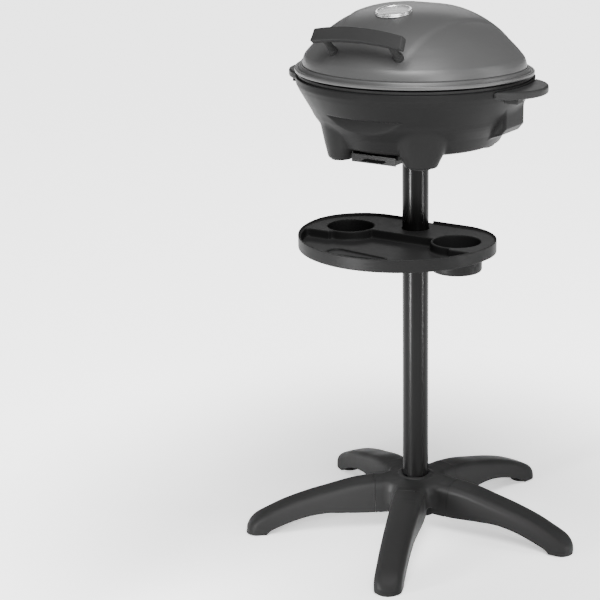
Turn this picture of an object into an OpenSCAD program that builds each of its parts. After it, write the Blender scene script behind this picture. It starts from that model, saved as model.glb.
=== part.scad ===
// Electric grill with a domed, hinged lid on a five-legged pedestal with a utensil tray.
// Millimetres. +Z is up, the front is -Y, and z = 0 is the floor under the foot pads.
// Every module works in the post frame, whose Z axis is the post's axis; place() moves it
// so that the whole object's outline is centred on the origin.
// The grill head's own modules start at the underside of its four moulded feet.

/* [Pedestal] */
// Outer diameter of the post tubes
post_d = 50; // [46:0.5:54]
// Wall thickness of the post tubes
post_wall = 1.5; // [1:0.1:3]
// Distance from the post axis to the centre of each foot
foot_reach = 314; // [300:1:330]
// Diameter of the round end of a leg
foot_d = 53; // [48:1:56]
// Width of a leg where it meets the hub
leg_root_w = 60; // [54:1:64]
// Height of a leg where it meets the hub
leg_root_h = 101.5; // [96:0.5:108]
// Height of the arch under a leg
leg_arch_h = 45.5; // [40:0.5:50]
// Wall of the hollow legs
leg_wall = 3.5; // [3:0.5:5]
// Turn of the five legs about the post, from the front towards the right
leg_turn = 20.8; // [0:0.1:71]
// Distance from the post axis to the seam between hub and leg
hub_seam_r = 84; // [78:1:90]
// Outer radius of the collar round the post
hub_collar_r = 32; // [30:0.5:36]
// Height of the rubber pad that stands below each leg
pad_h = 3; // [2:0.5:5]

/* [Utensil tray] */
// Height of the tray's shelf above the floor
tray_h = 605; // [560:1:620]
// Radius of the tray's round edge
tray_r = 190; // [180:1:196]
// Distance from the post axis forward to the centre of the round edge
tray_fwd = 58; // [54:1:64]
// Distance from the post axis back to the straight edge
tray_back = 48; // [44:1:50]
// Height of the tray's skirt below its shelf
tray_skirt = 20; // [16:1:26]
// Height of the rim above the shelf
tray_rim = 5; // [3:0.5:8]
// Wall thickness of the tray
tray_wall = 3; // [2:0.5:4]
// Depth of the front recess below the shelf
recess_depth = 17; // [12:1:18]
// Distance from the post axis forward to the recess's straight wall
recess_fwd = 52; // [48:1:60]
// Inner radius of a cup holder
cup_r = 44; // [38:0.5:46]
// Depth of a cup holder below the shelf
cup_depth = 52; // [40:1:60]
// Distance of each cup holder from the tray's centre line
cup_x = 115; // [110:1:118]
// Distance from the post axis forward to the cup holders
cup_fwd = 47; // [44:1:56]

/* [Grill body] */
// Height of the grill's moulded feet above the floor
head_z = 756; // [735:1:775]
// Height of the lower housing from its feet to its rim
housing_h = 143; // [140:1:150]
// Radius of the housing's rim band
rim_r = 222; // [218:0.5:226]
// Wall thickness of the lower housing
housing_wall = 3; // [2.4:0.1:4]
// Radius of the housing's flat underside
floor_r = 148; // [144:1:152]
// Height of the flat underside above the feet
floor_z = 20; // [18:0.5:24]
// Distance from the post axis to the flat back
back_y = 172; // [168:0.5:174]
// Distance from the post axis to the two cut-off back corners
corner_d = 212; // [208:0.5:215]
// Radius of a moulded foot at its lower end
lobe_r = 23; // [20:0.5:28]
// Distance of the front feet from the centre line
front_lobe_x = 85; // [82:1:90]
// Distance from the post axis forward to the front feet
front_lobe_fwd = 127; // [122:1:130]
// Distance of the rear feet from the centre line
rear_lobe_x = 90; // [86:1:94]
// Distance from the post axis back to the rear feet
rear_lobe_back = 95; // [90:1:100]
// Reach of the side handles from the post axis
handle_reach = 263; // [258:1:272]
// Width of a side handle along the rim
handle_w = 166; // [150:1:172]
// Thickness of a side handle
handle_t = 13; // [11:0.5:15]
// How far the post reaches up into its socket
post_seat = 37; // [30:1:38]

/* [Cooking plate] */
// Depth of the cooking plate from its rim to its floor
plate_depth = 17; // [14:0.5:20]
// Thickness of the cooking plate
plate_t = 4; // [3:0.5:5]
// Distance between the plate's ribs
rib_pitch = 14; // [11:0.5:18]
// Height of a rib above the plate's floor
rib_h = 3; // [2:0.5:4]
// Diameter of the tubular heating element
element_d = 8; // [6.5:0.5:9]
// Radius of the heating element's loop
element_r = 115; // [100:1:125]

/* [Lid] */
// Gap between the housing's rim and the lid's rolled edge
lid_gap = 5; // [4.5:0.1:6]
// Height of the lid's rolled edge
edge_h = 10; // [9:0.5:12]
// Height of the dome above the rolled edge
dome_h = 114; // [105:1:125]
// Radius of the dome at its foot
dome_r = 207; // [204:0.5:209]
// Sheet thickness of the lid
lid_t = 1.6; // [1.2:0.1:2.5]
// Half the distance between the two handle posts
grip_post_x = 67; // [58:1:72]
// Half the length of the lid handle
grip_half = 93; // [86:1:98]
// Height of the lid handle's bar
grip_h = 24; // [18:1:26]
// Diameter of the thermometer
gauge_d = 66; // [58:1:70]
// Distance from the centre line to each lid hinge
hinge_x = 77; // [70:1:84]
// Width of a lid hinge
hinge_w = 40; // [34:1:46]
// Diameter of the hinge pins
hinge_pin_d = 5; // [4:0.5:6]

/* [Thermostat] */
// Length of the thermostat's body
thermo_len = 75; // [68:1:82]
// Width of the thermostat's body
thermo_w = 40; // [36:1:44]
// Height of the thermostat's body
thermo_h = 28; // [25:1:31]
// Diameter of the temperature dial
dial_d = 33; // [28:1:36]
// Diameter of the mains cord
cord_d = 7; // [6:0.1:7]

/* [Hidden] */

// Facet setting for turned parts
$fn = 64;

// Clearances
fit = 0.05;
seat = 0.3;
loose = 0.4;
eps = 0.1;

// Pedestal
post_r = post_d / 2;
post_in = post_r - post_wall;
foot_r = foot_d / 2;
leg_angles = [for (k = [0:4]) leg_turn + 72 * k];
leg_sines = [for (a = leg_angles) sin(a)];
leg_cosines = [for (a = leg_angles) -cos(a)];
// The post stands off the origin so that the five feet are centred on it
post_x = -foot_reach * (max(leg_sines) + min(leg_sines)) / 2;
post_y = -foot_reach * (max(leg_cosines) + min(leg_cosines)) / 2;
leg_len = foot_reach + foot_r - hub_seam_r;
hub_top = leg_root_h + 2.5;
hub_floor = 36;
hub_base = 28;
hub_boss_r = 46;
hub_core_r = hub_seam_r - 18;
web_from = 50;
web_low = hub_floor + 1;
post_foot = hub_floor + 4;
// Outline of a leg from hub to toe: shares of its length and of its root and arch heights
leg_top = [
    [0, 1], [0.16, 0.955], [0.34, 0.85], [0.51, 0.745], [0.68, 0.61], [0.8, 0.48],
    [0.89, 0.365], [0.95, 0.245], [0.985, 0.13]
];
leg_under = [
    [0.82, 0.15], [0.785, 0.3], [0.66, 0.62], [0.53, 0.87], [0.39, 1], [0.27, 0.93],
    [0.08, 0.81], [0, 0.79]
];
toe_wall = 12;
toe_h = 60;
tongue_l = 24;
tongue_w = 30;
tongue_z = 55;
tongue_h = 30;
leg_screw_r = 3;

// Post and tray
tray_under = tray_h - tray_skirt;
tray_top = tray_h + tray_rim;
boss_r = post_r + 6;
boss_h = 42;
post_joint = tray_h - 15;
socket_low = head_z + floor_z - 16;
post_top = socket_low + post_seat;
cap_t = 2;
tray_screw_z = post_joint - 12;
drop_fwd = 171;

// Grill head: heights above its feet
band_h = 12;
band_z = housing_h - band_h;
plate_rim_z = housing_h;
plate_rim_t = lid_gap - seat;
plate_floor_z = plate_rim_z + plate_rim_t - plate_depth;
lid_z = housing_h + lid_gap;
dome_z = lid_z + edge_h;
// The housing's wall, from its flat underside to the rim band
wall = [
    [floor_r, floor_z], [floor_r + 10, floor_z + 4], [floor_r + 24, floor_z + 28],
    [floor_r + 38, floor_z + 46], [floor_r + 41.5, floor_z + 49], [floor_r + 43.6, floor_z + 58],
    [rim_r - 7, band_z - 12], [rim_r - 5, band_z - 3], [rim_r - 1, band_z]
];
corner_turn = 47.7;
front_lobe_h = 84;
front_lobe_flare = 16;
rear_lobe_h = 60;
rear_lobe_flare = 13;
lip_w = 14;
step_y = 182;
step_low = 60;
step_high = 89;
handle_z = housing_h - 19;
side_box_x = 200;
side_box_y = [-25, 52];
drip_x = 0;
drip_y = 95;
drip_w = 92;
drip_len = 108;
drip_z = 2;
drip_h = 15;
drip_wall = 1.2;
drain_r = 7;
reflector_z = 47;
bend_r = element_d / 2 + 0.8;
element_z = plate_floor_z - plate_t - seat - bend_r;
standoff_r = 125;
socket_screw_r = 42;
handle_screw_y = [-handle_w / 4, handle_w / 4];

// Thermostat: its axis runs outward and a little to the rear from the left rear wall
thermo_at = [-198, 106];
thermo_turn = 165;
thermo_z = housing_h - 15;
thermo_start = 8;
inlet_w = 34;
inlet_h = 22;
lead_y = 10;
lead_end = -18;
sleeve_from = -17;
saddle_l = 14;
saddle_low = -11;
nose_from = -9;
probe_z = -5;
dial_x = 48;
relief_len = 34;

// Lid
lid_r = rim_r + 0.5;
apex_y = -2;
dome_power = 2.85;
dome_skirt = 16;
dome_inset = lid_r - dome_r;
dome_rings = 11;
dome_sides = 72;
hinge_y = back_y + 8;
hinge_z = lid_z + 1;
hinge_pin_r = hinge_pin_d / 2;
hinge_knuckle_r = hinge_pin_r + 3;
leaf_knuckle_w = 14;
needle_rest = -45;
grip_foot_y = -173;
grip_end_y = -200;
grip_bow = 10;
grip_mid = 231;
grip_arch = 4;
grip_tilt = 31;
grip_t = 15;
grip_lean = 46;
grip_post_r = 6.5;
grip_post_l = 42;
gauge_y = -78;
gauge_r = gauge_d / 2;
gauge_tilt = 4;
gauge_sink = 3.1;
gauge_low = -13;
gauge_neck = [-4, 2.5];

// Mains cord: the points that it follows behind the post, in the post frame
cord_route = [
    [-311.3, 136.4, 884], [-321, 139, 884], [-332, 142, 882], [-342, 144, 876],
    [-349, 145, 868], [-353, 145, 857], [-352, 144, 845], [-340, 139, 826],
    [-313, 130, 801], [-273, 117, 778], [-220, 102, 760], [-160, 84, 747],
    [-102, 64, 738], [-57, 43, 726], [-42, 35, 715], [-31, 30, 701],
    [-23, 27, 686], [-17, 26, 668], [-16, 26, 655], [-13, 36, 636],
    [-10, 54, 608], [-10, 56, 575], [-11, 56, 470], [-14, 57, 330],
    [-18, 60, 200], [-24, 69, 125], [-32, 85, 74], [-39, 105, 25],
    [-41, 111.5, 14], [-43, 119, 7.5]
];
cord_sides = 8;
coil_at = [-88, 118];
coil_mid_r = 37.2;
coil_half = 7.2;
coil_h = 14;
plug_at = [-22, 142];
plug_turn = 105;
plug_len = 50;
plug_r = 18;
plug_cable_len = 20;
pin_l = 19;
plug_z = plug_r + 0.2;
// The cord's last stretch, from the coil's top layer to the plug
tail_route = [
    [-57, 91.5, 10.6], [-47, 97, 11], [-37, 103.5, 12.5], [-28.5, 114, 14.8],
    [-23.5, 128, 17.4], [-21.9, 141.7, 18.2]
];
tie_z = tray_h + 50;
tie_at = [-16, 26];

// Places a module, modelled about the post's axis, in the object's own frame
module place() {
    translate([post_x, post_y, 0]) children();
}

// Places a module of the grill head, modelled above the head's feet
module head() {
    place() translate([0, 0, head_z]) children();
}

// Ring with a rectangular section
module ring(outer, inner, h) {
    linear_extrude(h) difference() {
        circle(outer);
        circle(inner);
    }
}

// Turns a child to the direction of a leg
module along_leg(a) {
    place() rotate(a - 90) children();
}

// ---- Pedestal ----

function leg_outline(cut) = concat(
    [for (p = leg_top) [hub_seam_r + p[0] * leg_len, p[1] * leg_root_h - cut]],
    cut > 0 ? [] : [[hub_seam_r + leg_len, pad_h], [hub_seam_r + 0.835 * leg_len, pad_h]],
    [for (p = leg_under) [hub_seam_r + p[0] * leg_len, p[1] * leg_arch_h - 3 * cut]]
);

// A leg seen from above, narrowing to its round toe
module leg_plan(inset, root) {
    reach = foot_reach - (inset > 0 ? foot_r : 0);
    polygon([
        [root, -leg_root_w / 2 + inset], [reach, -foot_r + inset],
        [reach, foot_r - inset], [root, leg_root_w / 2 - inset]
    ]);
    if (inset == 0) translate([foot_reach, 0]) circle(foot_r);
}

module leg_block(cut, inset, root) {
    intersection() {
        linear_extrude(leg_root_h + 1) leg_plan(inset, root);
        rotate([90, 0, 0]) linear_extrude(leg_root_w + 2, center = true)
            polygon(leg_outline(cut));
    }
}

module leg(k) {
    color("#2b2b2c") along_leg(leg_angles[k]) {
        difference() {
            union() {
                leg_block(0, 0, hub_seam_r);
                translate([hub_seam_r - tongue_l, -tongue_w / 2, tongue_z])
                    cube([tongue_l + leg_wall + 1, tongue_w, tongue_h]);
            }
            difference() {
                leg_block(leg_wall, leg_wall, hub_seam_r + leg_wall);
                translate([foot_reach - foot_r - toe_wall, -foot_r, 0]) cube([foot_d, foot_d, toe_h]);
            }
            translate([hub_seam_r - tongue_l / 2, 0, tongue_z - 1])
                cylinder(h = tongue_h - 5, r = leg_screw_r + fit);
            translate([foot_reach, 0, pad_h - 1]) cylinder(h = 3, r = foot_r - 8);
        }
    }
}

module leg_1() { leg(0); }
module leg_2() { leg(1); }
module leg_3() { leg(2); }
module leg_4() { leg(3); }
module leg_5() { leg(4); }

module foot_pads() {
    color("#161616") for (a = leg_angles) along_leg(a) translate([foot_reach, 0, 0]) {
        cylinder(h = pad_h, r = foot_r - 4);
        cylinder(h = pad_h + 2, r = foot_r - 8 - fit);
    }
}

module base_hub() {
    color("#29292a") difference() {
        union() {
            place() rotate_extrude() polygon([
                [0, hub_base], [hub_boss_r - 2, hub_base], [hub_boss_r, hub_floor],
                [hub_core_r, hub_floor], [hub_core_r, hub_top - 14], [hub_core_r - 6, hub_top - 7],
                [hub_collar_r + 5, hub_top - 4], [hub_collar_r, hub_top], [0, hub_top]
            ]);
            for (a = leg_angles) along_leg(a) {
                translate([web_from, -leg_root_w / 2, web_low])
                    cube([hub_seam_r - web_from, leg_root_w, leg_root_h - 5 - web_low]);
                translate([hub_collar_r, 3 - leg_root_w / 2, hub_floor + 5])
                    cube([hub_seam_r - hub_collar_r, leg_root_w - 6, leg_root_h - hub_floor - 5]);
            }
        }
        for (a = leg_angles) along_leg(a) {
            translate([hub_seam_r - tongue_l - loose, -tongue_w / 2 - loose / 2, tongue_z - seat])
                cube([tongue_l + 2, tongue_w + loose, tongue_h + 2 * seat]);
            translate([hub_seam_r - tongue_l / 2, 0, hub_floor - 1])
                cylinder(h = tongue_z - hub_floor + 1, r = leg_screw_r + loose);
        }
        place() translate([0, 0, post_foot]) cylinder(h = hub_top, r = post_r + fit);
        place() cylinder(h = hub_top, r = 4.5);
    }
}

module leg_screws() {
    color("#b4b6b8") for (a = leg_angles) along_leg(a)
        translate([hub_seam_r - tongue_l / 2, 0, hub_floor]) {
            cylinder(h = tongue_z + tongue_h - hub_floor - 8, r = leg_screw_r);
            translate([0, 0, web_low - hub_floor - 4]) cylinder(h = 4, r = 5.5);
        }
}

module hub_bolt() {
    color("#b4b6b8") place() {
        translate([0, 0, hub_base - 2]) cylinder(h = 2, r = 13);
        translate([0, 0, hub_base - 8]) cylinder(h = 6, r = 7.5, $fn = 6);
        translate([0, 0, hub_base - 8]) cylinder(h = post_foot + 22 - hub_base, r = 4);
    }
}

module post_plug() {
    color("#8f9194") place() translate([0, 0, post_foot]) ring(post_in - fit, 4 + fit, 20);
}

module lower_post() {
    color("#151516") difference() {
        place() translate([0, 0, post_foot]) ring(post_r, post_in, post_joint - post_foot);
        tray_screw_hole(3);
    }
}

module upper_post() {
    color("#151516") place() translate([0, 0, post_joint])
        ring(post_r, post_in, post_top - cap_t - post_joint);
}

module post_joiner() {
    color("#9a9c9f") difference() {
        place() translate([0, 0, post_joint - 50]) ring(post_in - fit, post_in - 2, 100);
        tray_screw_hole(2.5);
    }
}

module post_cap() {
    color("#202021") place() {
        translate([0, 0, post_top - cap_t]) cylinder(h = cap_t, r = post_r);
        translate([0, 0, post_top - 18]) ring(post_in - fit, post_in - 3, 18);
    }
}

// ---- Utensil tray ----

module tray_screw_hole(r) {
    place() translate([0, post_in - 6, tray_screw_z]) rotate([-90, 0, 0])
        cylinder(h = boss_r, r = r + fit);
}

// The tray's outline, drawn in by an inset: half a disc, and two wide corners behind it
module tray_plan(inset) {
    corner_r = tray_back + tray_fwd;
    half = tray_r - corner_r;
    translate([0, -tray_fwd]) {
        intersection() {
            circle(tray_r - inset);
            translate([-tray_r, -2 * tray_r]) square(2 * tray_r);
        }
        translate([-half, 0]) square([2 * half, corner_r - inset]);
        for (side = [0, 1]) mirror([side, 0]) translate([half, 0]) intersection() {
            circle(corner_r - inset);
            square(corner_r);
        }
    }
}

// The front recess, grown outward by a wall
module recess_plan(grow) {
    difference() {
        intersection() {
            tray_plan(tray_wall + 3 - grow);
            translate([-tray_r, grow - recess_fwd - 2 * tray_r])
                square([tray_r + cup_x + 4 + grow, 2 * tray_r]);
        }
        for (side = [-1, 1]) translate([side * cup_x, -cup_fwd]) circle(cup_r + 5 - grow);
    }
}

// Raised outline that keeps a spatula in place
module teardrop(r) {
    hull() {
        translate([-68, -drop_fwd]) circle(r);
        translate([30, -drop_fwd]) circle(r / 3);
    }
}

module utensil_tray() {
    color("#2d2d2e") place() difference() {
        union() {
            translate([0, 0, tray_under]) linear_extrude(tray_top - tray_under) difference() {
                tray_plan(0);
                tray_plan(tray_wall);
            }
            translate([0, 0, tray_h - tray_wall]) linear_extrude(tray_wall)
                tray_plan(tray_wall - eps);
            translate([0, 0, tray_h - recess_depth - tray_wall])
                linear_extrude(recess_depth) recess_plan(tray_wall);
            for (side = [-1, 1]) translate([side * cup_x, -cup_fwd, tray_h - cup_depth - tray_wall])
                cylinder(h = cup_depth + tray_wall - 1, r = cup_r + tray_wall);
            translate([0, 0, tray_h - boss_h]) cylinder(h = boss_h - 1, r = boss_r);
        }
        translate([0, 0, tray_h - recess_depth]) linear_extrude(recess_depth + tray_rim)
            recess_plan(0);
        for (side = [-1, 1]) translate([side * cup_x, -cup_fwd, tray_h - cup_depth])
            cylinder(h = cup_depth + 1, r = cup_r);
        cylinder(h = tray_top + 1, r = post_r + fit);
        translate([-12, tray_back - tray_wall - 1, tray_h]) cube([24, tray_wall + 2, tray_rim + 1]);
        translate([0, 0, tray_screw_z]) rotate([-90, 0, 0]) cylinder(h = boss_r + 1, r = 3 + fit);
    }
    color("#2d2d2e") place() translate([0, 0, tray_h - recess_depth]) linear_extrude(2)
        difference() {
            teardrop(19);
            teardrop(16.5);
        }
}

module tray_screw() {
    color("#b4b6b8") place() translate([0, post_in - 5, tray_screw_z]) rotate([-90, 0, 0]) {
        cylinder(h = boss_r - post_in + 5, r = 2.5);
        translate([0, 0, boss_r - post_in + 5]) cylinder(h = 3, r = 4.5);
    }
}

// ---- Grill head: lower housing ----

// Outline of the head at one radius: a circle with a flat back and two cut-off corners
module head_plan(r, inset) {
    side = 4 * r;
    intersection() {
        circle(r - inset);
        translate([-side / 2, back_y - inset - side]) square(side);
        rotate(corner_turn) translate([corner_d - inset - side, -side / 2]) square(side);
        mirror([1, 0]) rotate(corner_turn)
            translate([corner_d - inset - side, -side / 2]) square(side);
    }
}

// The housing's bowl, as a solid drawn in by an inset
module bowl(inset) {
    points = [for (p = wall) [p[0] - inset, p[1] + (p[1] < floor_z + 5 ? inset : 0)]];
    top = housing_h + (inset > 0 ? 1 : 0);
    intersection() {
        rotate_extrude($fn = 96) polygon(concat(
            [[0, points[0][1]]], points, [[rim_r - inset, top], [0, top]]
        ));
        linear_extrude(housing_h + 2) head_plan(rim_r, inset);
    }
}

module lobes(inset) {
    for (side = [-1, 1]) {
        translate([side * front_lobe_x, -front_lobe_fwd, inset])
            cylinder(h = front_lobe_h - inset, r1 = lobe_r - inset,
                r2 = lobe_r + front_lobe_flare - inset);
        translate([side * rear_lobe_x, rear_lobe_back, inset])
            cylinder(h = rear_lobe_h - inset, r1 = lobe_r - inset,
                r2 = lobe_r + rear_lobe_flare - inset);
    }
}

// Box under a side handle, with a sloping lower edge
module side_box() {
    translate([0, side_box_y[1], 0]) rotate([90, 0, 0])
        linear_extrude(side_box_y[1] - side_box_y[0]) polygon([
            [floor_r + 20, 40], [side_box_x - 6, 53], [side_box_x, 60],
            [side_box_x, handle_z], [floor_r + 20, handle_z]
        ]);
}

module at_thermostat() {
    translate([thermo_at[0], thermo_at[1], thermo_z]) rotate(thermo_turn) children();
}

module lower_housing() {
    color("#47484a") head() difference() {
        union() {
            bowl(0);
            lobes(0);
            side_box();
            mirror([1, 0, 0]) side_box();
        }
        translate([0, 0, housing_h - housing_wall - 1]) linear_extrude(housing_wall + 2)
            head_plan(rim_r, lip_w);
        difference() {
            bowl(housing_wall);
            translate([-rim_r, -rim_r, housing_h - housing_wall]) cube(2 * rim_r);
            translate([-rim_r, -step_y + housing_wall - rim_r, step_low - 8])
                cube([2 * rim_r, rim_r, step_high + housing_wall + 8 - step_low]);
            for (a = [30, 150, 270]) rotate(a) translate([standoff_r, 0, 0])
                cylinder(h = reflector_z, r = 6);
        }
        lobes(housing_wall);
        translate([-rim_r, -step_y - rim_r, step_low - 8])
            cube([2 * rim_r, rim_r, step_high + 8 - step_low]);
        cylinder(h = floor_z + 6, r = post_r + 4.4);
        translate([drip_x, -drip_y, 0]) cylinder(h = floor_z + 6, r = drain_r + 3);
        for (k = [0:3]) rotate(45 + 90 * k) translate([socket_screw_r, 0, 0])
            cylinder(h = floor_z + 8, r = 2.1);
        at_thermostat() translate([-24, -inlet_w / 2, -inlet_h / 2]) cube([40, inlet_w, inlet_h]);
        for (side = [0, 1]) mirror([side, 0, 0]) side_handle_screws(0.2);
        housing_pad_places() translate([0, 0, -1]) cylinder(h = 2.2, r = lobe_r - 6);
        hinge_screw_places() rotate([90, 0, 0]) cylinder(h = 20, r = 2.1);
    }
}

module housing_pad_places() {
    for (side = [-1, 1]) {
        translate([side * front_lobe_x, -front_lobe_fwd, 0]) children();
        translate([side * rear_lobe_x, rear_lobe_back, 0]) children();
    }
}

module housing_foot_pads() {
    color("#1b1b1c") head() housing_pad_places() translate([0, 0, -2])
        cylinder(h = 3, r = lobe_r - 6 - fit);
}

// Plan of a side handle: a shallow wing whose edge is one arc
module wing_plan() {
    half = handle_w / 2;
    root = sqrt(rim_r * rim_r - half * half);
    rise = handle_reach - root;
    arc_r = (half * half + rise * rise) / (2 * rise);
    difference() {
        translate([handle_reach - arc_r, 0]) circle(arc_r);
        circle(rim_r + seat);
    }
}

// A side handle with the two tabs that its screws draw against the housing's wall
module side_handle() {
    difference() {
        union() {
            translate([0, 0, handle_z]) linear_extrude(handle_t) wing_plan();
            translate([0, 0, handle_z - 10]) linear_extrude(10.5) difference() {
                for (y = handle_screw_y) translate([rim_r - 20, y - 11]) square([36, 22]);
                circle(rim_r - 5.5);
            }
        }
        side_handle_screws(fit);
    }
}

// The two screws of the right handle, which run outward from inside the housing
module side_handle_screws(extra) {
    for (y = handle_screw_y) translate([rim_r - 22, y, handle_z - 5]) rotate([0, 90, 0]) {
        cylinder(h = 30, r = 2 + extra);
        if (extra == 0) cylinder(h = 3, r = 4);
    }
}

module left_handle() {
    color("#454648") head() mirror([1, 0, 0]) side_handle();
}

module right_handle() {
    color("#454648") head() side_handle();
}

module handle_screws() {
    color("#b4b6b8") head() for (side = [0, 1]) mirror([side, 0, 0]) side_handle_screws(0);
}

// ---- Grill head: the socket that stands on the post ----

module post_socket() {
    color("#333335") place() difference() {
        translate([0, 0, socket_low]) rotate_extrude() polygon([
            [0, post_seat], [post_r + fit, post_seat], [post_r + fit, 0], [post_r + 6, 0],
            [post_r + 6, 13], [50, 13], [50, 16], [post_r + 4, 16], [post_r + 4, post_seat + 3],
            [0, post_seat + 3]
        ]);
        for (k = [0:3]) rotate(45 + 90 * k) translate([socket_screw_r, 0, socket_low])
            cylinder(h = 20, r = 2.1);
        lock_screw_axis() cylinder(h = 20, r = 3 + fit);
    }
}

// The lock screw's axis, from just clear of the post outward to the rear
module lock_screw_axis() {
    translate([0, post_r + seat, socket_low + 6]) rotate([-90, 0, 0]) children();
}

module socket_lock_screw() {
    color("#2a2a2b") place() lock_screw_axis() {
        cylinder(h = 16, r = 3);
        translate([0, 0, 8]) cylinder(h = 10, r = 5.5);
    }
}

module socket_screws() {
    color("#b4b6b8") head() for (k = [0:3]) rotate(45 + 90 * k)
        translate([socket_screw_r, 0, floor_z - 5]) {
            cylinder(h = 12, r = 2);
            cylinder(h = 2, r = 4);
        }
}

// ---- Grill head: drip tray ----

// Two L-shaped rails under the housing's floor
module drip_tray_rails() {
    color("#3a3b3d") head() for (side = [-1, 1]) translate([drip_x, -drip_y - drip_len / 2 + 4, 0])
        translate([side * (drip_w / 2 + loose), 0, 0]) mirror([side < 0 ? 1 : 0, 0, 0]) {
            translate([0.2, 0, drip_z + drip_h - 5]) cube([2, drip_len - 6, floor_z - drip_z - drip_h + 5]);
            translate([-3.5, 0, drip_z + drip_h - 5]) cube([5, drip_len - 6, 1.5]);
        }
}

// An open pan with a lip on each side that the rails carry, and a pull at the front
module drip_tray() {
    lip_z = drip_z + drip_h - 3.2;
    color("#8d9093") head() translate([drip_x, -drip_y, 0]) difference() {
        union() {
            translate([4 - drip_w / 2, -drip_len / 2, drip_z]) cube([drip_w - 8, drip_len, drip_h - 2]);
            translate([-drip_w / 2, -drip_len / 2, lip_z]) cube([drip_w, drip_len, drip_wall]);
            translate([-drip_w / 2, -drip_len / 2 - 2, drip_z]) cube([drip_w, 2, drip_h]);
            translate([-22, -drip_len / 2 - 12, drip_z + 3]) cube([44, 11, 2]);
        }
        translate([4 + drip_wall - drip_w / 2, drip_wall - drip_len / 2, drip_z + drip_wall])
            cube([drip_w - 8 - 2 * drip_wall, drip_len - 2 * drip_wall, drip_h]);
    }
}

// ---- Grill head: reflector, heating element and cooking plate ----

module reflector_form(inset, top) {
    low = reflector_z + inset;
    intersection() {
        rotate_extrude($fn = 96) polygon([
            [0, low], [floor_r - inset, low], [rim_r - 30 - inset, band_z - 12 + top],
            [0, band_z - 12 + top]
        ]);
        linear_extrude(housing_h) head_plan(rim_r, 12 + inset);
    }
}

module heat_reflector() {
    color("#b9bcc0") head() difference() {
        reflector_form(0, 0);
        reflector_form(1.2, 1);
        translate([drip_x, -drip_y, 0]) cylinder(h = housing_h, r = drain_r + 1.5);
        at_thermostat() translate([-60, -inlet_w / 2 - 2, -inlet_h / 2 - 2])
            cube([80, inlet_w + 4, inlet_h + 4]);
    }
}

// The heating loop's centre and its two leads, seen along the thermostat's axis
function loop_x() = -(thermo_at[0] * cos(thermo_turn) + thermo_at[1] * sin(thermo_turn));
function loop_y() = thermo_at[0] * sin(thermo_turn) - thermo_at[1] * cos(thermo_turn);
function lead_angle(y) = asin((y - loop_y()) / element_r);

module heating_element() {
    r = element_d / 2;
    near = lead_angle(lead_y);
    far = lead_angle(-lead_y);
    color("#55504c") head() at_thermostat() translate([0, 0, element_z - thermo_z]) {
        translate([loop_x(), loop_y(), 0]) rotate(near) rotate_extrude(angle = 360 - near + far)
            translate([element_r, 0]) circle(r, $fn = 32);
        for (y = [-lead_y, lead_y]) {
            bend = loop_x() + element_r * cos(lead_angle(y));
            translate([bend, y, 0]) sphere(bend_r, $fn = 32);
            translate([bend, y, 0]) rotate([0, 90, 0]) cylinder(h = lead_end - bend, r = r, $fn = 32);
        }
    }
}

// Lugs under the plate that the heating loop lies in
module element_clips() {
    gap = element_d / 2 + seat;
    color("#3c3c3e") head() for (a = [20, 110, 200, 290]) rotate(a)
        translate([element_r, 0, 0]) difference() {
            translate([-gap - 3, -5, element_z - element_d / 2 - 2])
                cube([2 * gap + 6, 10, plate_floor_z - plate_t - element_z + element_d / 2 + 2]);
            translate([-gap, -6, element_z - gap]) cube([2 * gap, 12, 2 * gap]);
        }
}

// Cast plate: a dished pan with a bearing rim, ribs and a drain hole
module cooking_plate() {
    low = plate_floor_z - plate_t;
    top = plate_rim_z + plate_rim_t;
    color("#1d1d1e") head() difference() {
        union() {
            difference() {
                translate([0, 0, low]) linear_extrude(top - low) head_plan(rim_r, lip_w + 5);
                translate([0, 0, plate_floor_z]) linear_extrude(top)
                    head_plan(rim_r, lip_w + 5 + plate_t);
            }
            translate([0, 0, plate_rim_z]) linear_extrude(plate_rim_t) difference() {
                head_plan(rim_r, 5);
                head_plan(rim_r, lip_w + 5 + plate_t);
            }
            translate([0, 0, plate_floor_z - eps]) linear_extrude(rib_h + eps) intersection() {
                head_plan(rim_r, lip_w + 14);
                for (k = [-13:13]) translate([k * rib_pitch - 2, -rim_r]) square([4, 2 * rim_r]);
            }
        }
        translate([drip_x, -drip_y, 0]) cylinder(h = top, r = drain_r);
    }
}

// ---- Thermostat ----

// Sleeve through the housing's wall with a flange outside it
module thermostat_inlet() {
    color("#333436") head() difference() {
        union() {
            at_thermostat() translate([sleeve_from, 0.2 - inlet_w / 2, 0.2 - inlet_h / 2])
                cube([thermo_start - sleeve_from, inlet_w - 0.4, inlet_h - 0.4]);
            difference() {
                at_thermostat() translate([-16, -inlet_w / 2 - 5, -inlet_h / 2 - 3])
                    cube([16 + thermo_start, inlet_w + 10, inlet_h + 6]);
                translate([0, 0, -seat]) linear_extrude(housing_h + 9)
                    head_plan(rim_r + seat, 0);
            }
        }
        at_thermostat() translate([-25, 2 - inlet_w / 2, 2 - inlet_h / 2])
            cube([40, inlet_w - 4, inlet_h - 4]);
    }
}

// Ceramic saddle that carries the heating loop's leads
module terminal_block() {
    color("#d8d2c4") head() at_thermostat() difference() {
        translate([sleeve_from - seat - saddle_l, -16, saddle_low])
            cube([saddle_l, 32, element_z - thermo_z - saddle_low]);
        for (y = [-lead_y, lead_y]) translate([-60, y, element_z - thermo_z]) rotate([0, 90, 0])
            cylinder(h = 60, r = element_d / 2 + fit);
        translate([-60, 0, probe_z]) rotate([0, 90, 0]) cylinder(h = 60, r = 2.8);
    }
}

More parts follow.
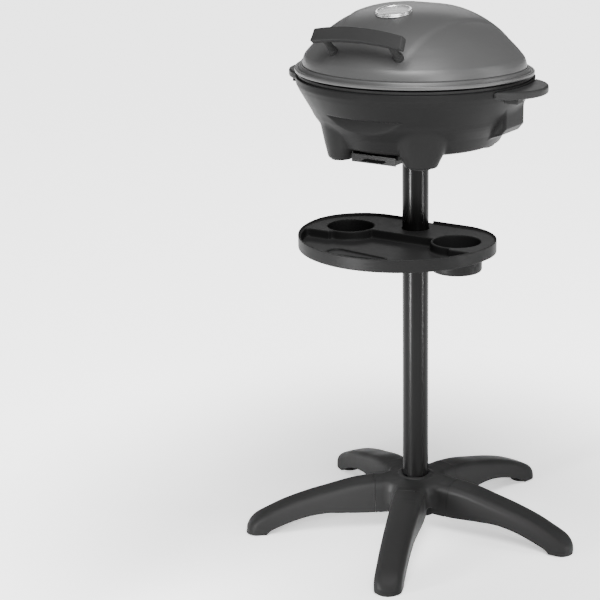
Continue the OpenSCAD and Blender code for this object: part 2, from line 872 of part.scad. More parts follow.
module thermostat_body() {
    half = thermo_w / 2;
    end = thermo_start + seat + thermo_len;
    color("#222223") head() at_thermostat() difference() {
        union() {
            translate([0, 0, -thermo_h / 2]) linear_extrude(thermo_h) polygon([
                [thermo_start + seat, 3 - half], [thermo_start + 6, -half], [end - 24, -half],
                [end - 6, -half * 0.68], [end, -half * 0.5], [end, half * 0.5],
                [end - 6, half * 0.68], [end - 24, half], [thermo_start + 6, half],
                [thermo_start + seat, half - 3]
            ]);
            translate([nose_from, 2.3 - inlet_w / 2, 2.3 - inlet_h / 2])
                cube([thermo_start + 5 - nose_from, inlet_w - 4.6, inlet_h - 4.6]);
        }
        translate([dial_x, 0, 0]) cylinder(h = thermo_h, r = 3 + fit);
        translate([nose_from - 1, 0, probe_z]) rotate([0, 90, 0]) cylinder(h = 9, r = 2.5 + fit);
    }
}

module thermostat_probe() {
    color("#c4c6c8") head() at_thermostat() translate([-72, 0, probe_z]) rotate([0, 90, 0])
        cylinder(h = 72 + nose_from + 8, r = 2.5);
}

module dial_lamp_ring() {
    color("#d98a5a") head() at_thermostat() translate([dial_x, 0, thermo_h / 2])
        ring(dial_d / 2 + 3, dial_d / 2 + 0.6, 1.6);
}

// Dial with a grip bar and the shaft that turns in the body
module thermostat_dial() {
    color("#1c1c1d") head() at_thermostat() translate([dial_x, 0, 0]) {
        translate([0, 0, 0.5]) cylinder(h = thermo_h / 2, r = 3);
        translate([0, 0, thermo_h / 2 + seat]) cylinder(h = 4.5, r = dial_d / 2);
        translate([2 - dial_d / 2, -3, thermo_h / 2 + 4]) cube([dial_d - 4, 6, 5.5]);
    }
}

module cord_strain_relief() {
    color("#1a1a1b") head() at_thermostat()
        translate([thermo_start + seat + thermo_len, 0, 0]) rotate([0, 90, 0])
            cylinder(h = relief_len - seat, r1 = 8.5, r2 = cord_d / 2 + 1.5);
}

// ---- Lid ----

// Distance from the dome's apex to its foot in one direction, with softened corners
function dome_ray(a) =
    let (
        dx = cos(a),
        dy = sin(a),
        b = dy * apex_y,
        arc = sqrt(b * b - apex_y * apex_y + dome_r * dome_r) - b,
        back = dy > 0.01 ? (back_y - dome_inset - apex_y) / dy : 9999,
        facing = abs(dx) * cos(corner_turn) + dy * sin(corner_turn),
        cut = corner_d - dome_inset - sin(corner_turn) * apex_y,
        corner = facing > 0.01 ? cut / facing : 9999
    ) pow(pow(arc, -24) + pow(back, -24) + pow(corner, -24), -1 / 24);
function dome_share(x, y) = norm([x, y - apex_y]) / dome_ray(atan2(y - apex_y, x));
function dome_rise(share) =
    dome_z + dome_skirt + (dome_h - dome_skirt) * (1 - pow(share, dome_power));
function dome_height(x, y) = dome_rise(dome_share(x, y));
function dome_tilt(x, y) =
    atan((dome_h - dome_skirt) * dome_power * pow(dome_share(x, y), dome_power - 1)
        / dome_ray(atan2(y - apex_y, x)));

// One ring of points on the dome; share runs from 1 at the foot to 0 at the apex
function dome_ring(share, z, inset) = [
    for (i = [0:dome_sides - 1])
        let (a = 360 * i / dome_sides, r = (dome_ray(a) - inset) * share)
            [r * cos(a), apex_y + r * sin(a), z]
];

// Side faces between rings a and a + 1 of a stack, for either way round
function ring_faces(a, n) = [
    for (i = [0:n - 1]) let (j = (i + 1) % n, low = a * n, high = (a + 1) * n)
        [low + i, high + i, high + j, low + j]
];

module dome_shell() {
    shares = [for (k = [0:dome_rings - 1]) 1 - k / dome_rings];
    n = dome_sides;
    outer = concat(
        dome_ring(1, dome_z, 0),
        [for (s = shares, p = dome_ring(s, dome_rise(s), 0)) p]
    );
    inner = concat(
        [for (k = [dome_rings - 1:-1:0], p = dome_ring(shares[k], dome_rise(shares[k]) - lid_t, lid_t)) p],
        dome_ring(1, dome_z, lid_t)
    );
    rings = dome_rings + 1;
    top_out = 2 * rings * n;
    top_in = top_out + 1;
    points = concat(outer, inner, [[0, apex_y, dome_rise(0)], [0, apex_y, dome_rise(0) - lid_t]]);
    polyhedron(points, concat(
        [for (k = [0:rings - 2], f = ring_faces(k, n)) f],
        [for (k = [rings:2 * rings - 2], f = ring_faces(k, n)) f],
        [for (i = [0:n - 1]) let (j = (i + 1) % n) [(rings - 1) * n + i, top_out, (rings - 1) * n + j]],
        [for (i = [0:n - 1]) let (j = (i + 1) % n) [rings * n + i, rings * n + j, top_in]],
        [for (i = [0:n - 1]) let (j = (i + 1) % n, low = (2 * rings - 1) * n) [i, j, low + j, low + i]]
    ));
}

// Stands a child on the dome, with its Z axis along the dome's normal
module on_dome(x, y) {
    translate([x, y, dome_height(x, y)]) rotate(atan2(y - apex_y, x))
        rotate([0, dome_tilt(x, y), 0]) children();
}

// Stands a child on the dome at a handle post, leaning forward as the post does
module at_grip_post(side) {
    translate([side * grip_post_x, grip_foot_y, dome_height(grip_post_x, grip_foot_y)])
        rotate([grip_lean, 0, 0]) children();
}

module lid_dome() {
    color("#6d6e70") head() difference() {
        dome_shell();
        at_gauge() translate([0, 0, -20]) cylinder(h = 40, r = gauge_r + seat, $fn = 48);
        for (side = [-1, 1]) at_grip_post(side) translate([0, 0, -8])
            cylinder(h = 16, r = 2.3, $fn = 24);
    }
}

module lid_edge() {
    color("#6d6e70") head() difference() {
        union() {
            translate([0, 0, lid_z]) linear_extrude(edge_h) difference() {
                head_plan(lid_r, 0);
                head_plan(lid_r, dome_inset + 4);
            }
            translate([0, 0, dome_z - eps]) linear_extrude(2.5 + eps) difference() {
                head_plan(lid_r, 6);
                head_plan(lid_r, 10);
            }
        }
        translate([0, 0, lid_z - 1]) linear_extrude(edge_h - 2) difference() {
            head_plan(lid_r, 3);
            head_plan(lid_r, dome_inset + 5);
        }
        leaf_screw_places() translate([0, 0, -20]) cylinder(h = 30, r = 2 + fit);
    }
}

module grip_posts() {
    color("#303133") head() for (side = [-1, 1]) difference() {
        at_grip_post(side) translate([0, 0, -6]) {
            cylinder(h = grip_post_l + 6, r = grip_post_r);
            cylinder(h = 12, r = grip_post_r + 2);
        }
        mirror([side < 0 ? 1 : 0, 0, 0]) on_dome(grip_post_x, grip_foot_y)
            translate([-25, -25, seat - 40]) cube([50, 50, 40]);
        at_grip_post(side) translate([0, 0, -8]) cylinder(h = 24, r = 2 + fit);
    }
}

// The bar's plan is bowed and its face arched; the whole bar leans back about its middle
module grip_bar() {
    steps = [for (k = [-8:8]) k / 8];
    back = [for (t = steps) [t * grip_half, grip_t / 2 - grip_bow * (1 - t * t)]];
    low = [for (t = steps) [t * grip_half, grip_arch * (1 - t * t) - grip_h / 2]];
    color("#3a3b3d") head() difference() {
        translate([0, grip_end_y, grip_mid]) rotate([-grip_tilt, 0, 0]) intersection() {
            linear_extrude(4 * grip_h, center = true) polygon(concat(
                back, [for (k = [16:-1:0]) [back[k][0], back[k][1] - grip_t]]
            ));
            rotate([90, 0, 0]) linear_extrude(4 * grip_h, center = true) polygon(concat(
                low, [for (k = [16:-1:0]) [low[k][0] * 0.97, low[k][1] * 1.2 + grip_h * 1.1]]
            ));
        }
        for (side = [-1, 1]) at_grip_post(side)
            cylinder(h = grip_post_l + seat, r = grip_post_r + fit);
    }
}

module grip_screws() {
    color("#a9abad") head() for (side = [-1, 1]) at_grip_post(side) {
        translate([0, 0, -4]) cylinder(h = 18, r = 2);
        translate([0, 0, -8]) cylinder(h = 4, r = 4);
    }
}

// ---- Thermometer ----

// The gauge's own frame: nearly level, and sunk so that the dome's crown meets its bezel
module at_gauge() {
    translate([0, gauge_y, dome_height(0, gauge_y)]) rotate([gauge_tilt, 0, 0])
        translate([0, 0, -gauge_sink]) children();
}

module gauge_case() {
    color("#c9cbcd") head() at_gauge() {
        rotate_extrude() polygon([
            [gauge_r - 4, gauge_low], [gauge_r, gauge_low], [gauge_r, gauge_neck[0]],
            [gauge_r - 3, gauge_neck[0]], [gauge_r - 3, gauge_neck[1]],
            [gauge_r - 0.6, gauge_neck[1]], [gauge_r, 3.1], [gauge_r, 4.4], [gauge_r - 1.2, 5.2],
            [gauge_r - 1.2, 7], [gauge_r, 7.9], [gauge_r - 0.4, 9], [gauge_r - 2, 9.5],
            [gauge_r - 5, 9.5], [gauge_r - 5, 8.7], [gauge_r - 4, 8.7]
        ]);
        translate([0, 0, gauge_low]) cylinder(h = 2 - gauge_low, r = gauge_r - 3.5);
        translate([0, 0, gauge_low - 10]) cylinder(h = 11, r = 3);
        cylinder(h = 5, r = 1);
    }
}

module gauge_face() {
    color("#e8e8e6") head() at_gauge() translate([0, 0, 2]) ring(gauge_r - 4.2, 1.4, 1);
}

// Needle on the gauge's own pin; it points to the gauge's cold end at rest
module gauge_needle() {
    color("#b02a20") head() at_gauge() translate([0, 0, 3.3]) difference() {
        union() {
            cylinder(h = 1.6, r = 2.6);
            rotate(needle_rest) linear_extrude(0.8)
                polygon([[-6, -1.4], [gauge_r - 12, -0.4], [gauge_r - 12, 0.4], [-6, 1.4]]);
        }
        translate([0, 0, -1]) cylinder(h = 4, r = 1 + fit);
    }
}

module gauge_glass() {
    color("#dfe8ee", 0.35) head() at_gauge() translate([0, 0, 7.2])
        cylinder(h = 1.4, r = gauge_r - 4.1);
}

module gauge_nut() {
    color("#b4b6b8") head() at_gauge() translate([0, 0, gauge_low])
        ring(gauge_r + 4, gauge_r + fit, 4);
}

// ---- Hinges ----

module hinge_places() {
    for (side = [-1, 1]) translate([side * hinge_x, hinge_y, hinge_z]) children();
}

module knuckle(from, width, bore) {
    translate([from, 0, 0]) rotate([0, 90, 0]) ring(hinge_knuckle_r, bore, width);
}

module hinge_bases() {
    outer = (hinge_w - leaf_knuckle_w) / 2 - loose;
    reach = hinge_y - back_y;
    color("#c3c5c8") head() difference() {
        union() {
            hinge_places() {
                translate([-hinge_w / 2, -reach, -37]) cube([hinge_w, 2, 33]);
                for (x = [-hinge_w / 2, hinge_w / 2 - outer]) {
                    knuckle(x, outer, hinge_pin_r + fit);
                    translate([x, -reach, -8]) cube([outer, reach - hinge_pin_r, 4.2]);
                }
            }
        }
        hinge_screw_places() rotate([90, 0, 0]) cylinder(h = 20, r = 2 + fit);
    }
}

module hinge_pins() {
    color("#a4a6a8") head() hinge_places() translate([-hinge_w / 2 - 1, 0, 0]) rotate([0, 90, 0])
        cylinder(h = hinge_w + 2, r = hinge_pin_r);
}

module hinge_leaves() {
    reach = hinge_y - back_y;
    color("#c3c5c8") head() difference() {
        hinge_places() {
            knuckle(-leaf_knuckle_w / 2, leaf_knuckle_w, hinge_pin_r + fit);
            translate([-leaf_knuckle_w / 2, -reach + 1, 3.4]) cube([leaf_knuckle_w, reach - 3, 4]);
            translate([-14, -reach + seat, 1.2]) cube([28, 1.7, edge_h + 4.3]);
            translate([-14, -reach - 13, edge_h + 3.8 - 2]) cube([28, 15, 1.7]);
        }
        leaf_screw_places() translate([0, 0, -20]) cylinder(h = 40, r = 2 + fit);
    }
}

// Screws through the hinge bases into the housing's back wall
module hinge_screw_places() {
    hinge_places() for (x = [-12, 12]) translate([x, 8 - hinge_y + back_y, -24]) children();
}

module hinge_screws() {
    color("#b4b6b8") head() hinge_screw_places() rotate([90, 0, 0]) {
        translate([0, 0, 4]) cylinder(h = 12, r = 2);
        translate([0, 0, 4]) cylinder(h = 2, r = 3.6);
    }
}

// Screws down through the leaves into the lid's rolled edge
module leaf_screw_places() {
    for (side = [-1, 1], x = [-9, 9])
        translate([side * hinge_x + x, back_y - 11.8, dome_z + 4.6]) children();
}

module leaf_screws() {
    color("#b4b6b8") head() leaf_screw_places() {
        translate([0, 0, -11]) cylinder(h = 11, r = 2);
        cylinder(h = 1.8, r = 3);
    }
}

// ---- Mains cord ----

// A round tube swept along a list of points, its rings square to the route
function sweep_ring(route, k, r, sides) =
    let (
        last = len(route) - 1,
        along = route[min(k + 1, last)] - route[max(k - 1, 0)],
        t = along / norm(along),
        side = cross(t, [0.31, 0.95, 0.05]),
        u = side / norm(side),
        v = cross(t, u)
    ) [for (i = [0:sides - 1]) route[k] + r * (cos(360 * i / sides) * u + sin(360 * i / sides) * v)];

module sweep(route, r, sides) {
    last = len(route) - 1;
    points = [for (k = [0:last], p = sweep_ring(route, k, r, sides)) p];
    polyhedron(points, concat(
        [[for (i = [0:sides - 1]) i]],
        [for (k = [0:last - 1], f = ring_faces(k, sides)) f],
        [[for (i = [sides - 1:-1:0]) last * sides + i]]
    ));
}

module cord_tube() {
    color("#18181a") place() {
        sweep(cord_route, cord_d / 2, cord_sides);
        sweep(tail_route, cord_d / 2, cord_sides);
    }
}

module cord_coil() {
    color("#18181a") place() translate([coil_at[0], coil_at[1], 0])
        ring(coil_mid_r + coil_half, coil_mid_r - coil_half, coil_h);
}

module cord_coil_tie() {
    color("#2f3032") place() translate([coil_at[0], coil_at[1], 0]) rotate(200)
        translate([coil_mid_r, -4, 0]) difference() {
            translate([-coil_half - 1.8, 0, 0]) cube([2 * coil_half + 3.6, 8, coil_h + 1.8]);
            translate([-coil_half - 0.2, -1, -1]) cube([2 * coil_half + 0.4, 10, coil_h + 1.2]);
        }
}

// Clip behind the post that holds the cord against it
module cord_post_tie() {
    color("#2f3032") place() translate([0, 0, tie_z - 6]) linear_extrude(12) difference() {
        union() {
            intersection() {
                circle(post_r + 1.8);
                translate([tie_at[0] - 9, 10]) square([22, 30]);
            }
            translate(tie_at) circle(cord_d / 2 + 2.2);
        }
        circle(post_r + fit);
        translate(tie_at) circle(cord_d / 2 + 0.8);
    }
}

module at_plug() {
    place() translate([plug_at[0], plug_at[1], plug_z]) rotate(plug_turn) rotate([0, 90, 0]) children();
}

module mains_plug() {
    color("#1b1b1d") at_plug() rotate_extrude() polygon([
        [0, 0], [cord_d / 2 + 1.5, 0], [cord_d / 2 + 3.5, plug_cable_len], [plug_r - 5, plug_cable_len + 4],
        [plug_r - 1, plug_cable_len + 12], [plug_r, plug_cable_len + 22],
        [plug_r, plug_cable_len + plug_len - 12], [0, plug_cable_len + plug_len - 12]
    ]);
}

module plug_pins() {
    color("#c8cacc") at_plug() for (y = [-9.5, 9.5])
        translate([0, y, plug_cable_len + plug_len - 12]) cylinder(h = pin_l, r = 2.4);
}

base_hub();
leg_1();
leg_2();
leg_3();
leg_4();
leg_5();
foot_pads();
leg_screws();
hub_bolt();
post_plug();
lower_post();
upper_post();
post_joiner();
post_cap();
utensil_tray();
tray_screw();
lower_housing();
left_handle();
right_handle();
handle_screws();
housing_foot_pads();
post_socket();
socket_screws();
socket_lock_screw();
drip_tray_rails();
drip_tray();
heat_reflector();
heating_element();
element_clips();
cooking_plate();
thermostat_inlet();
terminal_block();
thermostat_body();
thermostat_probe();
thermostat_dial();
dial_lamp_ring();
cord_strain_relief();
hinge_bases();
hinge_pins();
hinge_leaves();
hinge_screws();
leaf_screws();
lid_edge();
lid_dome();
grip_posts();
grip_bar();
grip_screws();
gauge_case();
gauge_face();
gauge_needle();
gauge_glass();
gauge_nut();
cord_tube();
cord_coil();
cord_coil_tie();
cord_post_tie();
mains_plug();
plug_pins();
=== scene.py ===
# %% [markdown]
# # An electric grill on its pedestal
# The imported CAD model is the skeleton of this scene: every size and every moving part comes
# from it. What Blender adds is the look of the real thing, which is soft moulded edges, a lid
# of sprayed sheet metal, chrome, glass and the way that studio light runs over them.

# %% Load the frame
from math import atan2, cos, hypot, pi, radians, sin, sqrt

import bmesh
import bpy
import numpy as np
from mathutils import Matrix, Vector


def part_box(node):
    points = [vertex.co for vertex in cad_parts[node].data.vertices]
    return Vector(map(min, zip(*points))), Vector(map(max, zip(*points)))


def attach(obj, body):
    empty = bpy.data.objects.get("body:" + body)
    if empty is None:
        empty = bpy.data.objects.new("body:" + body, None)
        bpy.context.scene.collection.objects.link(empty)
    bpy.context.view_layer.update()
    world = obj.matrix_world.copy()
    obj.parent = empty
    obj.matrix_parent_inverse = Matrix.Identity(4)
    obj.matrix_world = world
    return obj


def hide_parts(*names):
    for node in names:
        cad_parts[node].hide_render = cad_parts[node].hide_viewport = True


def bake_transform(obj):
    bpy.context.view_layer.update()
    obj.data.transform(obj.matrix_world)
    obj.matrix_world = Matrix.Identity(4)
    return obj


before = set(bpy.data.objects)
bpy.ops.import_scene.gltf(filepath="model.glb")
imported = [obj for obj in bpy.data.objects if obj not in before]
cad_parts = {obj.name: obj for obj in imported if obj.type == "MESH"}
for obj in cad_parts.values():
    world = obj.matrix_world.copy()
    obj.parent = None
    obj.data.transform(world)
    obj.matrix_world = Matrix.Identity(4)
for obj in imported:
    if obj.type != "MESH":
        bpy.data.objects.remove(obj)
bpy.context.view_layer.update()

# %% [markdown]
# ## Where things are
# The post stands a little off the middle of the five feet, so most shapes are worked out
# around the post's own axis and then moved there. The tray's and the rim's heights come from
# the frame's boxes, because a number that is read from the model can't drift away from it;
# HEAD_Z is given as a number.

# %% The post's axis and the levels of the grill
post_low, post_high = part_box("lower_post")
POST_X = (post_low.x + post_high.x) / 2
POST_Y = (post_low.y + post_high.y) / 2
POST_R = (post_high.x - post_low.x) / 2
HEAD_Z = 0.756
TRAY_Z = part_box("utensil_tray")[1].z - 0.005
RIM_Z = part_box("lower_housing")[1].z - HEAD_Z
print(f"post at {POST_X:.4f}, {POST_Y:.4f}; tray {TRAY_Z:.3f}; rim {HEAD_Z + RIM_Z:.3f}")

# %% [markdown]
# ## The camera
# The view is from the front and 30 degrees to the right, three metres away and a little
# above the lid. A long lens keeps the post straight and the feet in proportion. The lens is
# shifted sideways instead of turned, so that upright edges stay parallel.

# %% Camera
def show(name, data):
    """Puts a mesh, a lamp or a camera into the scene as an object."""
    thing = bpy.data.objects.new(name, data)
    bpy.context.scene.collection.objects.link(thing)
    return thing


VIEW_TURN = radians(30)
VIEW_DISTANCE = 3.211
VIEW_HEIGHT = 1.458
VIEW_PITCH = radians(17.24)

camera_data = bpy.data.cameras.new("view_camera")
camera_data.sensor_width = 36
camera_data.lens = 105.18
camera_data.shift_x = -0.1925
camera = show("view_camera", camera_data)
camera.location = (
    POST_X + VIEW_DISTANCE * sin(VIEW_TURN),
    POST_Y - VIEW_DISTANCE * cos(VIEW_TURN),
    VIEW_HEIGHT,
)
camera.rotation_euler = (pi / 2 - VIEW_PITCH, 0, VIEW_TURN)
bpy.context.scene.camera = camera
print("camera at", [round(c, 3) for c in camera.location])

# %% [markdown]
# ## Floor and light
# Black plastic only shows its shape through what it mirrors, so the lights matter more than
# the colours. A wide panel above the front fills the lid, and two more light the front and
# the right side. Weaker ones at the left and behind draw the far edges. Two narrow strips
# with a tight beam draw the long streaks down the post, and a pale room softens the shadows.

# %% Room, floor and soft panels
ROOM_STRENGTH = 0.25
STRIP_BEAM = 48
FLOOR_HALF = 20.0


def fill(node, **values):
    """Sets a node's inputs by their names, with an underscore for each space."""
    for name, value in values.items():
        node.inputs[name.replace("_", " ")].default_value = value


def light_panel(name, place, aim, width, height, watts, spread=180):
    """A rectangular lamp that faces its aim; the spread of its beam is in degrees."""
    lamp = bpy.data.lights.new(name, "AREA")
    lamp.shape, lamp.size, lamp.size_y, lamp.energy = "RECTANGLE", width, height, watts
    lamp.spread = radians(spread)
    panel = show(name, lamp)
    panel.location = place
    panel.rotation_euler = (Vector(aim) - Vector(place)).to_track_quat("-Z", "Y").to_euler()


world = bpy.data.worlds.new("white_room")
world.use_nodes = True
fill(world.node_tree.nodes["Background"], Color=(1, 1, 1, 1), Strength=ROOM_STRENGTH)
bpy.context.scene.world = world

light_panel("panel_left", (-2.4, -0.7, 1.4), (0, 0, 0.8), 0.3, 2.4, 3)
light_panel("panel_right", (2.2, 0.9, 1.4), (0, 0, 0.8), 0.3, 2.4, 30)
light_panel("panel_top", (0.8, -1.5, 2.8), (0, 0, 0.5), 1.6, 1.6, 160)
light_panel("panel_front", (2.6, -2.0, 1.5), (0, 0, 0.7), 1.2, 1.6, 70)
light_panel("panel_back", (-1.6, 2.7, 2.2), (0, 0, 1.0), 1.8, 0.8, 14)
light_panel("strip_left", (-0.33, -1.08, 0.3), (POST_X, POST_Y, 0.3), 0.07, 0.55, 8,
            spread=STRIP_BEAM)
light_panel("strip_right", (1.09, 0.12, 0.3), (POST_X, POST_Y, 0.3), 0.08, 0.55, 2,
            spread=STRIP_BEAM)

floor_mesh = bpy.data.meshes.new("studio_floor")
floor_mesh.from_pydata(
    [(-FLOOR_HALF, -FLOOR_HALF, 0), (FLOOR_HALF, -FLOOR_HALF, 0),
     (FLOOR_HALF, FLOOR_HALF, 0), (-FLOOR_HALF, FLOOR_HALF, 0)], [], [(0, 1, 2, 3)])
studio_floor = show("studio_floor", floor_mesh)
print("five soft panels, two narrow strips and a floor")

# %% [markdown]
# ## Lines and rings
# Most meshes here are rings of vertices with quads between them, drawn along smooth lines.
# The smooth line is the one that Catmull and Rom found: it passes through every point.

# %% Helpers for smooth lines and rings
def ease(t):
    """Goes from 0 to 1 with a soft start and a soft end."""
    return t * t * (3 - 2 * t)


def spline_point(a, b, c, d, t):
    """The place at the share t of the way from b to c, on a smooth line through all four."""
    return 0.5 * (2 * b + (c - a) * t + (2 * a - 5 * b + 4 * c - d) * t * t
                  + (3 * b - a - 3 * c + d) * t ** 3)


def ring_angles(sides):
    return np.linspace(0, 2 * pi, sides, endpoint=False)


def ring_quads(rings, sides, closed=False):
    """Quads between neighbouring rings of vertices; closed also joins the last to the first."""
    quads = []
    for k in range(rings if closed else rings - 1):
        a, b = k * sides, (k + 1) % rings * sides
        quads += [(a + i, a + (i + 1) % sides, b + (i + 1) % sides, b + i)
                  for i in range(sides)]
    return quads


def capped_rings(rings, sides):
    """Quads between the rings and one face over the first and the last of them."""
    last = (rings - 1) * sides
    ends = [tuple(reversed(range(sides))), tuple(last + i for i in range(sides))]
    return ring_quads(rings, sides) + ends


def moved(matrix, verts):
    return [tuple(matrix @ Vector(v)) for v in verts]


# %% [markdown]
# ## The mains cord
# The cord is about 1.9 m of round 7 mm flex. It leaves the thermostat's strain relief, hangs
# in a loose bow, is strapped to the back of the post and comes down behind the tray. The rest
# is wound into a coil on the floor behind the hub, with the plug beside it. Its route is a
# list of points that is smoothed into one curve, and the turns of the coil are worked out by
# a loop.

# %% Route of the cord
CORD_D = 0.007
COIL_MIDDLE = (-88, 118)
COIL_ANGLES = range(22, 1021, 12)
MM = 0.001

hanging_route = [
    (-311.3, 136.4, 884), (-321, 139, 884), (-332, 142, 882), (-342, 144, 876),
    (-348.6, 145, 868), (-352.2, 145, 857), (-351.3, 144, 845), (-340, 139, 826),
    (-313, 130, 801), (-273, 117, 778), (-220, 102, 760), (-160, 84, 747),
    (-102, 64, 738), (-57, 43, 726), (-42, 35, 715), (-31, 30, 701),
    (-23, 27, 686), (-17, 26, 668), (-16, 26, 655), (-13, 36, 636),
    (-10, 54, 608), (-10, 56, 575), (-11, 56, 470), (-14, 57, 330),
    (-18, 60, 200), (-24, 69, 125), (-32, 85, 74), (-39, 105, 25),
    (-41, 111.5, 14), (-43, 119, 7.5),
]
plug_route = [
    (-57, 91.5, 10.6), (-47, 97, 11), (-37, 103.5, 12.5), (-28.5, 114, 14.8),
    (-23.5, 128, 17.4), (-21.9, 141.7, 18.2),
]


def smooth_step(low, high, value):
    return ease(min(max((value - low) / (high - low), 0), 1))


def coil_point(angle):
    """A place on the coil: one wide turn, one inside it, and one that lies on the two."""
    radius = 41 - 7 * smooth_step(300, 360, angle) + 3.5 * smooth_step(590, 655, angle)
    hump = smooth_step(640, 670, angle) * (1 - smooth_step(725, 750, angle))
    height = 3.8 + 6.4 * smooth_step(590, 655, angle) + hump
    turn = radians(angle)
    return (COIL_MIDDLE[0] + radius * cos(turn),
            COIL_MIDDLE[1] + radius * sin(turn), height)


def spline_through(points, step=0.004):
    """A smooth curve through the points, in pieces of about one step."""
    ends = [2 * points[0] - points[1]] + points + [2 * points[-1] - points[-2]]
    out = []
    for a, b, c, d in zip(ends, ends[1:], ends[2:], ends[3:]):
        pieces = max(2, round((c - b).length / step))
        out += [spline_point(a, b, c, d, k / pieces) for k in range(pieces)]
    return out + [points[-1]]


route_mm = hanging_route + [coil_point(a) for a in COIL_ANGLES] + plug_route
cord_points = spline_through([
    Vector((POST_X + x * MM, POST_Y + y * MM, z * MM)) for x, y, z in route_mm])

# %% Sweep the cord
def tube(points, radius, sides=16):
    """A round tube along the points; each ring is carried on from the last without twist."""
    verts, side = [], Vector((0, 0, 1))
    for k, place in enumerate(points):
        along = (points[min(k + 1, len(points) - 1)] - points[max(k - 1, 0)]).normalized()
        side = (side - along * side.dot(along)).normalized()
        up = along.cross(side)
        for i in range(sides):
            turn = 2 * pi * i / sides
            verts.append(place + radius * (cos(turn) * side + sin(turn) * up))
    return verts, capped_rings(len(points), sides)


cord_verts, cord_faces = tube(cord_points, CORD_D / 2)
cord_mesh = bpy.data.meshes.new("mains_cord")
cord_mesh.from_pydata([tuple(v) for v in cord_verts], [], cord_faces)
cord_mesh.shade_smooth()
mains_cord = show("mains_cord", cord_mesh)
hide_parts("cord_tube", "cord_coil")
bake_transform(mains_cord)

# %% [markdown]
# ## Finishes
# Every finish is a small recipe of nodes. All of them share one helper: it mixes two close
# shades with a slow cloud of noise, lets the roughness wander with a finer one, and raises a
# grain with a bump. The coordinates are the object's own, in metres, so a grain of 400 cells
# to the metre is the same size on the tray as on a leg.

# %% A helper that starts a finish
def colour(shade):
    """A grey from one number, or a colour from its red, green and blue."""
    return (*shade, 1) if isinstance(shade, tuple) else (shade, shade, shade, 1)


def new_finish(name, dark, light, rough, rough_spread=0.06, metal=0.0,
               cloud=9.0, grain=900.0, grain_height=0.00006, gloss=0.04):
    """A finish with clouded colour, wandering roughness and a fine raised grain."""
    finish = bpy.data.materials.new(name)
    finish.use_nodes = True
    nodes, links = finish.node_tree.nodes, finish.node_tree.links
    shader = nodes["Principled BSDF"]
    fill(shader, Metallic=metal, Specular_IOR_Level=gloss)
    place = nodes.new("ShaderNodeTexCoord")

    def noise(scale, detail):
        cells = nodes.new("ShaderNodeTexNoise")
        fill(cells, Scale=scale, Detail=detail)
        links.new(place.outputs["Object"], cells.inputs["Vector"])
        return cells.outputs["Fac"]

    tone = nodes.new("ShaderNodeMix")
    tone.data_type = "RGBA"
    tone.inputs[6].default_value = colour(dark)
    tone.inputs[7].default_value = colour(light)
    links.new(noise(cloud, 4), tone.inputs[0])
    links.new(tone.outputs[2], shader.inputs["Base Color"])

    spread = nodes.new("ShaderNodeMapRange")
    fill(spread, To_Min=rough - rough_spread, To_Max=rough + rough_spread)
    links.new(noise(cloud * 6, 6), spread.inputs["Value"])
    links.new(spread.outputs["Result"], shader.inputs["Roughness"])

    bump = nodes.new("ShaderNodeBump")
    fill(bump, Distance=grain_height, Strength=0.6)
    links.new(noise(grain, 2), bump.inputs["Height"])
    links.new(bump.outputs["Normal"], shader.inputs["Normal"])
    return finish


def shader_of(finish):
    return finish.node_tree.nodes["Principled BSDF"]


def soft_ramp(nodes, low, high):
    """A node that goes softly from its first value to its last between low and high."""
    ramp = nodes.new("ShaderNodeMapRange")
    ramp.interpolation_type = "SMOOTHSTEP"
    fill(ramp, From_Min=low, From_Max=high)
    return ramp


# %% Plastics, rubber and paint
base_plastic = new_finish("base_plastic", 0.01, 0.012, 0.44, grain=1100)
tray_plastic = new_finish("tray_plastic", 0.006, 0.007, 0.46, grain=1100)
housing_plastic = new_finish("housing_plastic", 0.0075, 0.009, 0.42, grain=1000)
handle_plastic = new_finish("handle_plastic", 0.017, 0.02, 0.4, grain=1000)
thermostat_plastic = new_finish("thermostat_plastic", 0.007, 0.01, 0.3)
cord_pvc = new_finish("cord_pvc", 0.007, 0.01, 0.42, grain=600)
pad_rubber = new_finish("pad_rubber", 0.016, 0.02, 0.75, grain=500)
post_paint = new_finish("post_paint", 0.002, 0.003, 0.24, rough_spread=0.01,
                        grain=260, grain_height=0.000002, gloss=0.06)
lid_paint = new_finish("lid_paint", 0.04, 0.045, 0.42, metal=0.1,
                       cloud=5.0, grain=1600, grain_height=0.00003, gloss=0.4)
plate_coating = new_finish("plate_coating", 0.014, 0.022, 0.45, cloud=30.0,
                           grain=700, grain_height=0.0001)

# %% [markdown]
# The tray's top is paler than its walls where light falls on it from above, and that light is
# painted: the tray's finish asks which way the surface faces and mixes in a lighter shade,
# painted light, where it looks up.

# %% Painted light on the tray's upward faces
# The paler colour painted on faces that look up stands in for light falling on the tray's top.
DECK_PAINTED_LIGHT = 0.015
deck_nodes, deck_links = tray_plastic.node_tree.nodes, tray_plastic.node_tree.links
deck_shader = shader_of(tray_plastic)
deck_facing = deck_nodes.new("ShaderNodeNewGeometry")
deck_axes = deck_nodes.new("ShaderNodeSeparateXYZ")
deck_links.new(deck_facing.outputs["Normal"], deck_axes.inputs["Vector"])
painted_light_share = soft_ramp(deck_nodes, 0.3, 0.95)
deck_links.new(deck_axes.outputs["Z"], painted_light_share.inputs["Value"])
painted_light_tone = deck_nodes.new("ShaderNodeMix")
painted_light_tone.data_type = "RGBA"
painted_light_tone.inputs[7].default_value = colour(DECK_PAINTED_LIGHT)
deck_links.new(deck_shader.inputs["Base Color"].links[0].from_socket, painted_light_tone.inputs[6])
deck_links.new(painted_light_share.outputs["Result"], painted_light_tone.inputs[0])
deck_links.new(painted_light_tone.outputs[2], deck_shader.inputs["Base Color"])

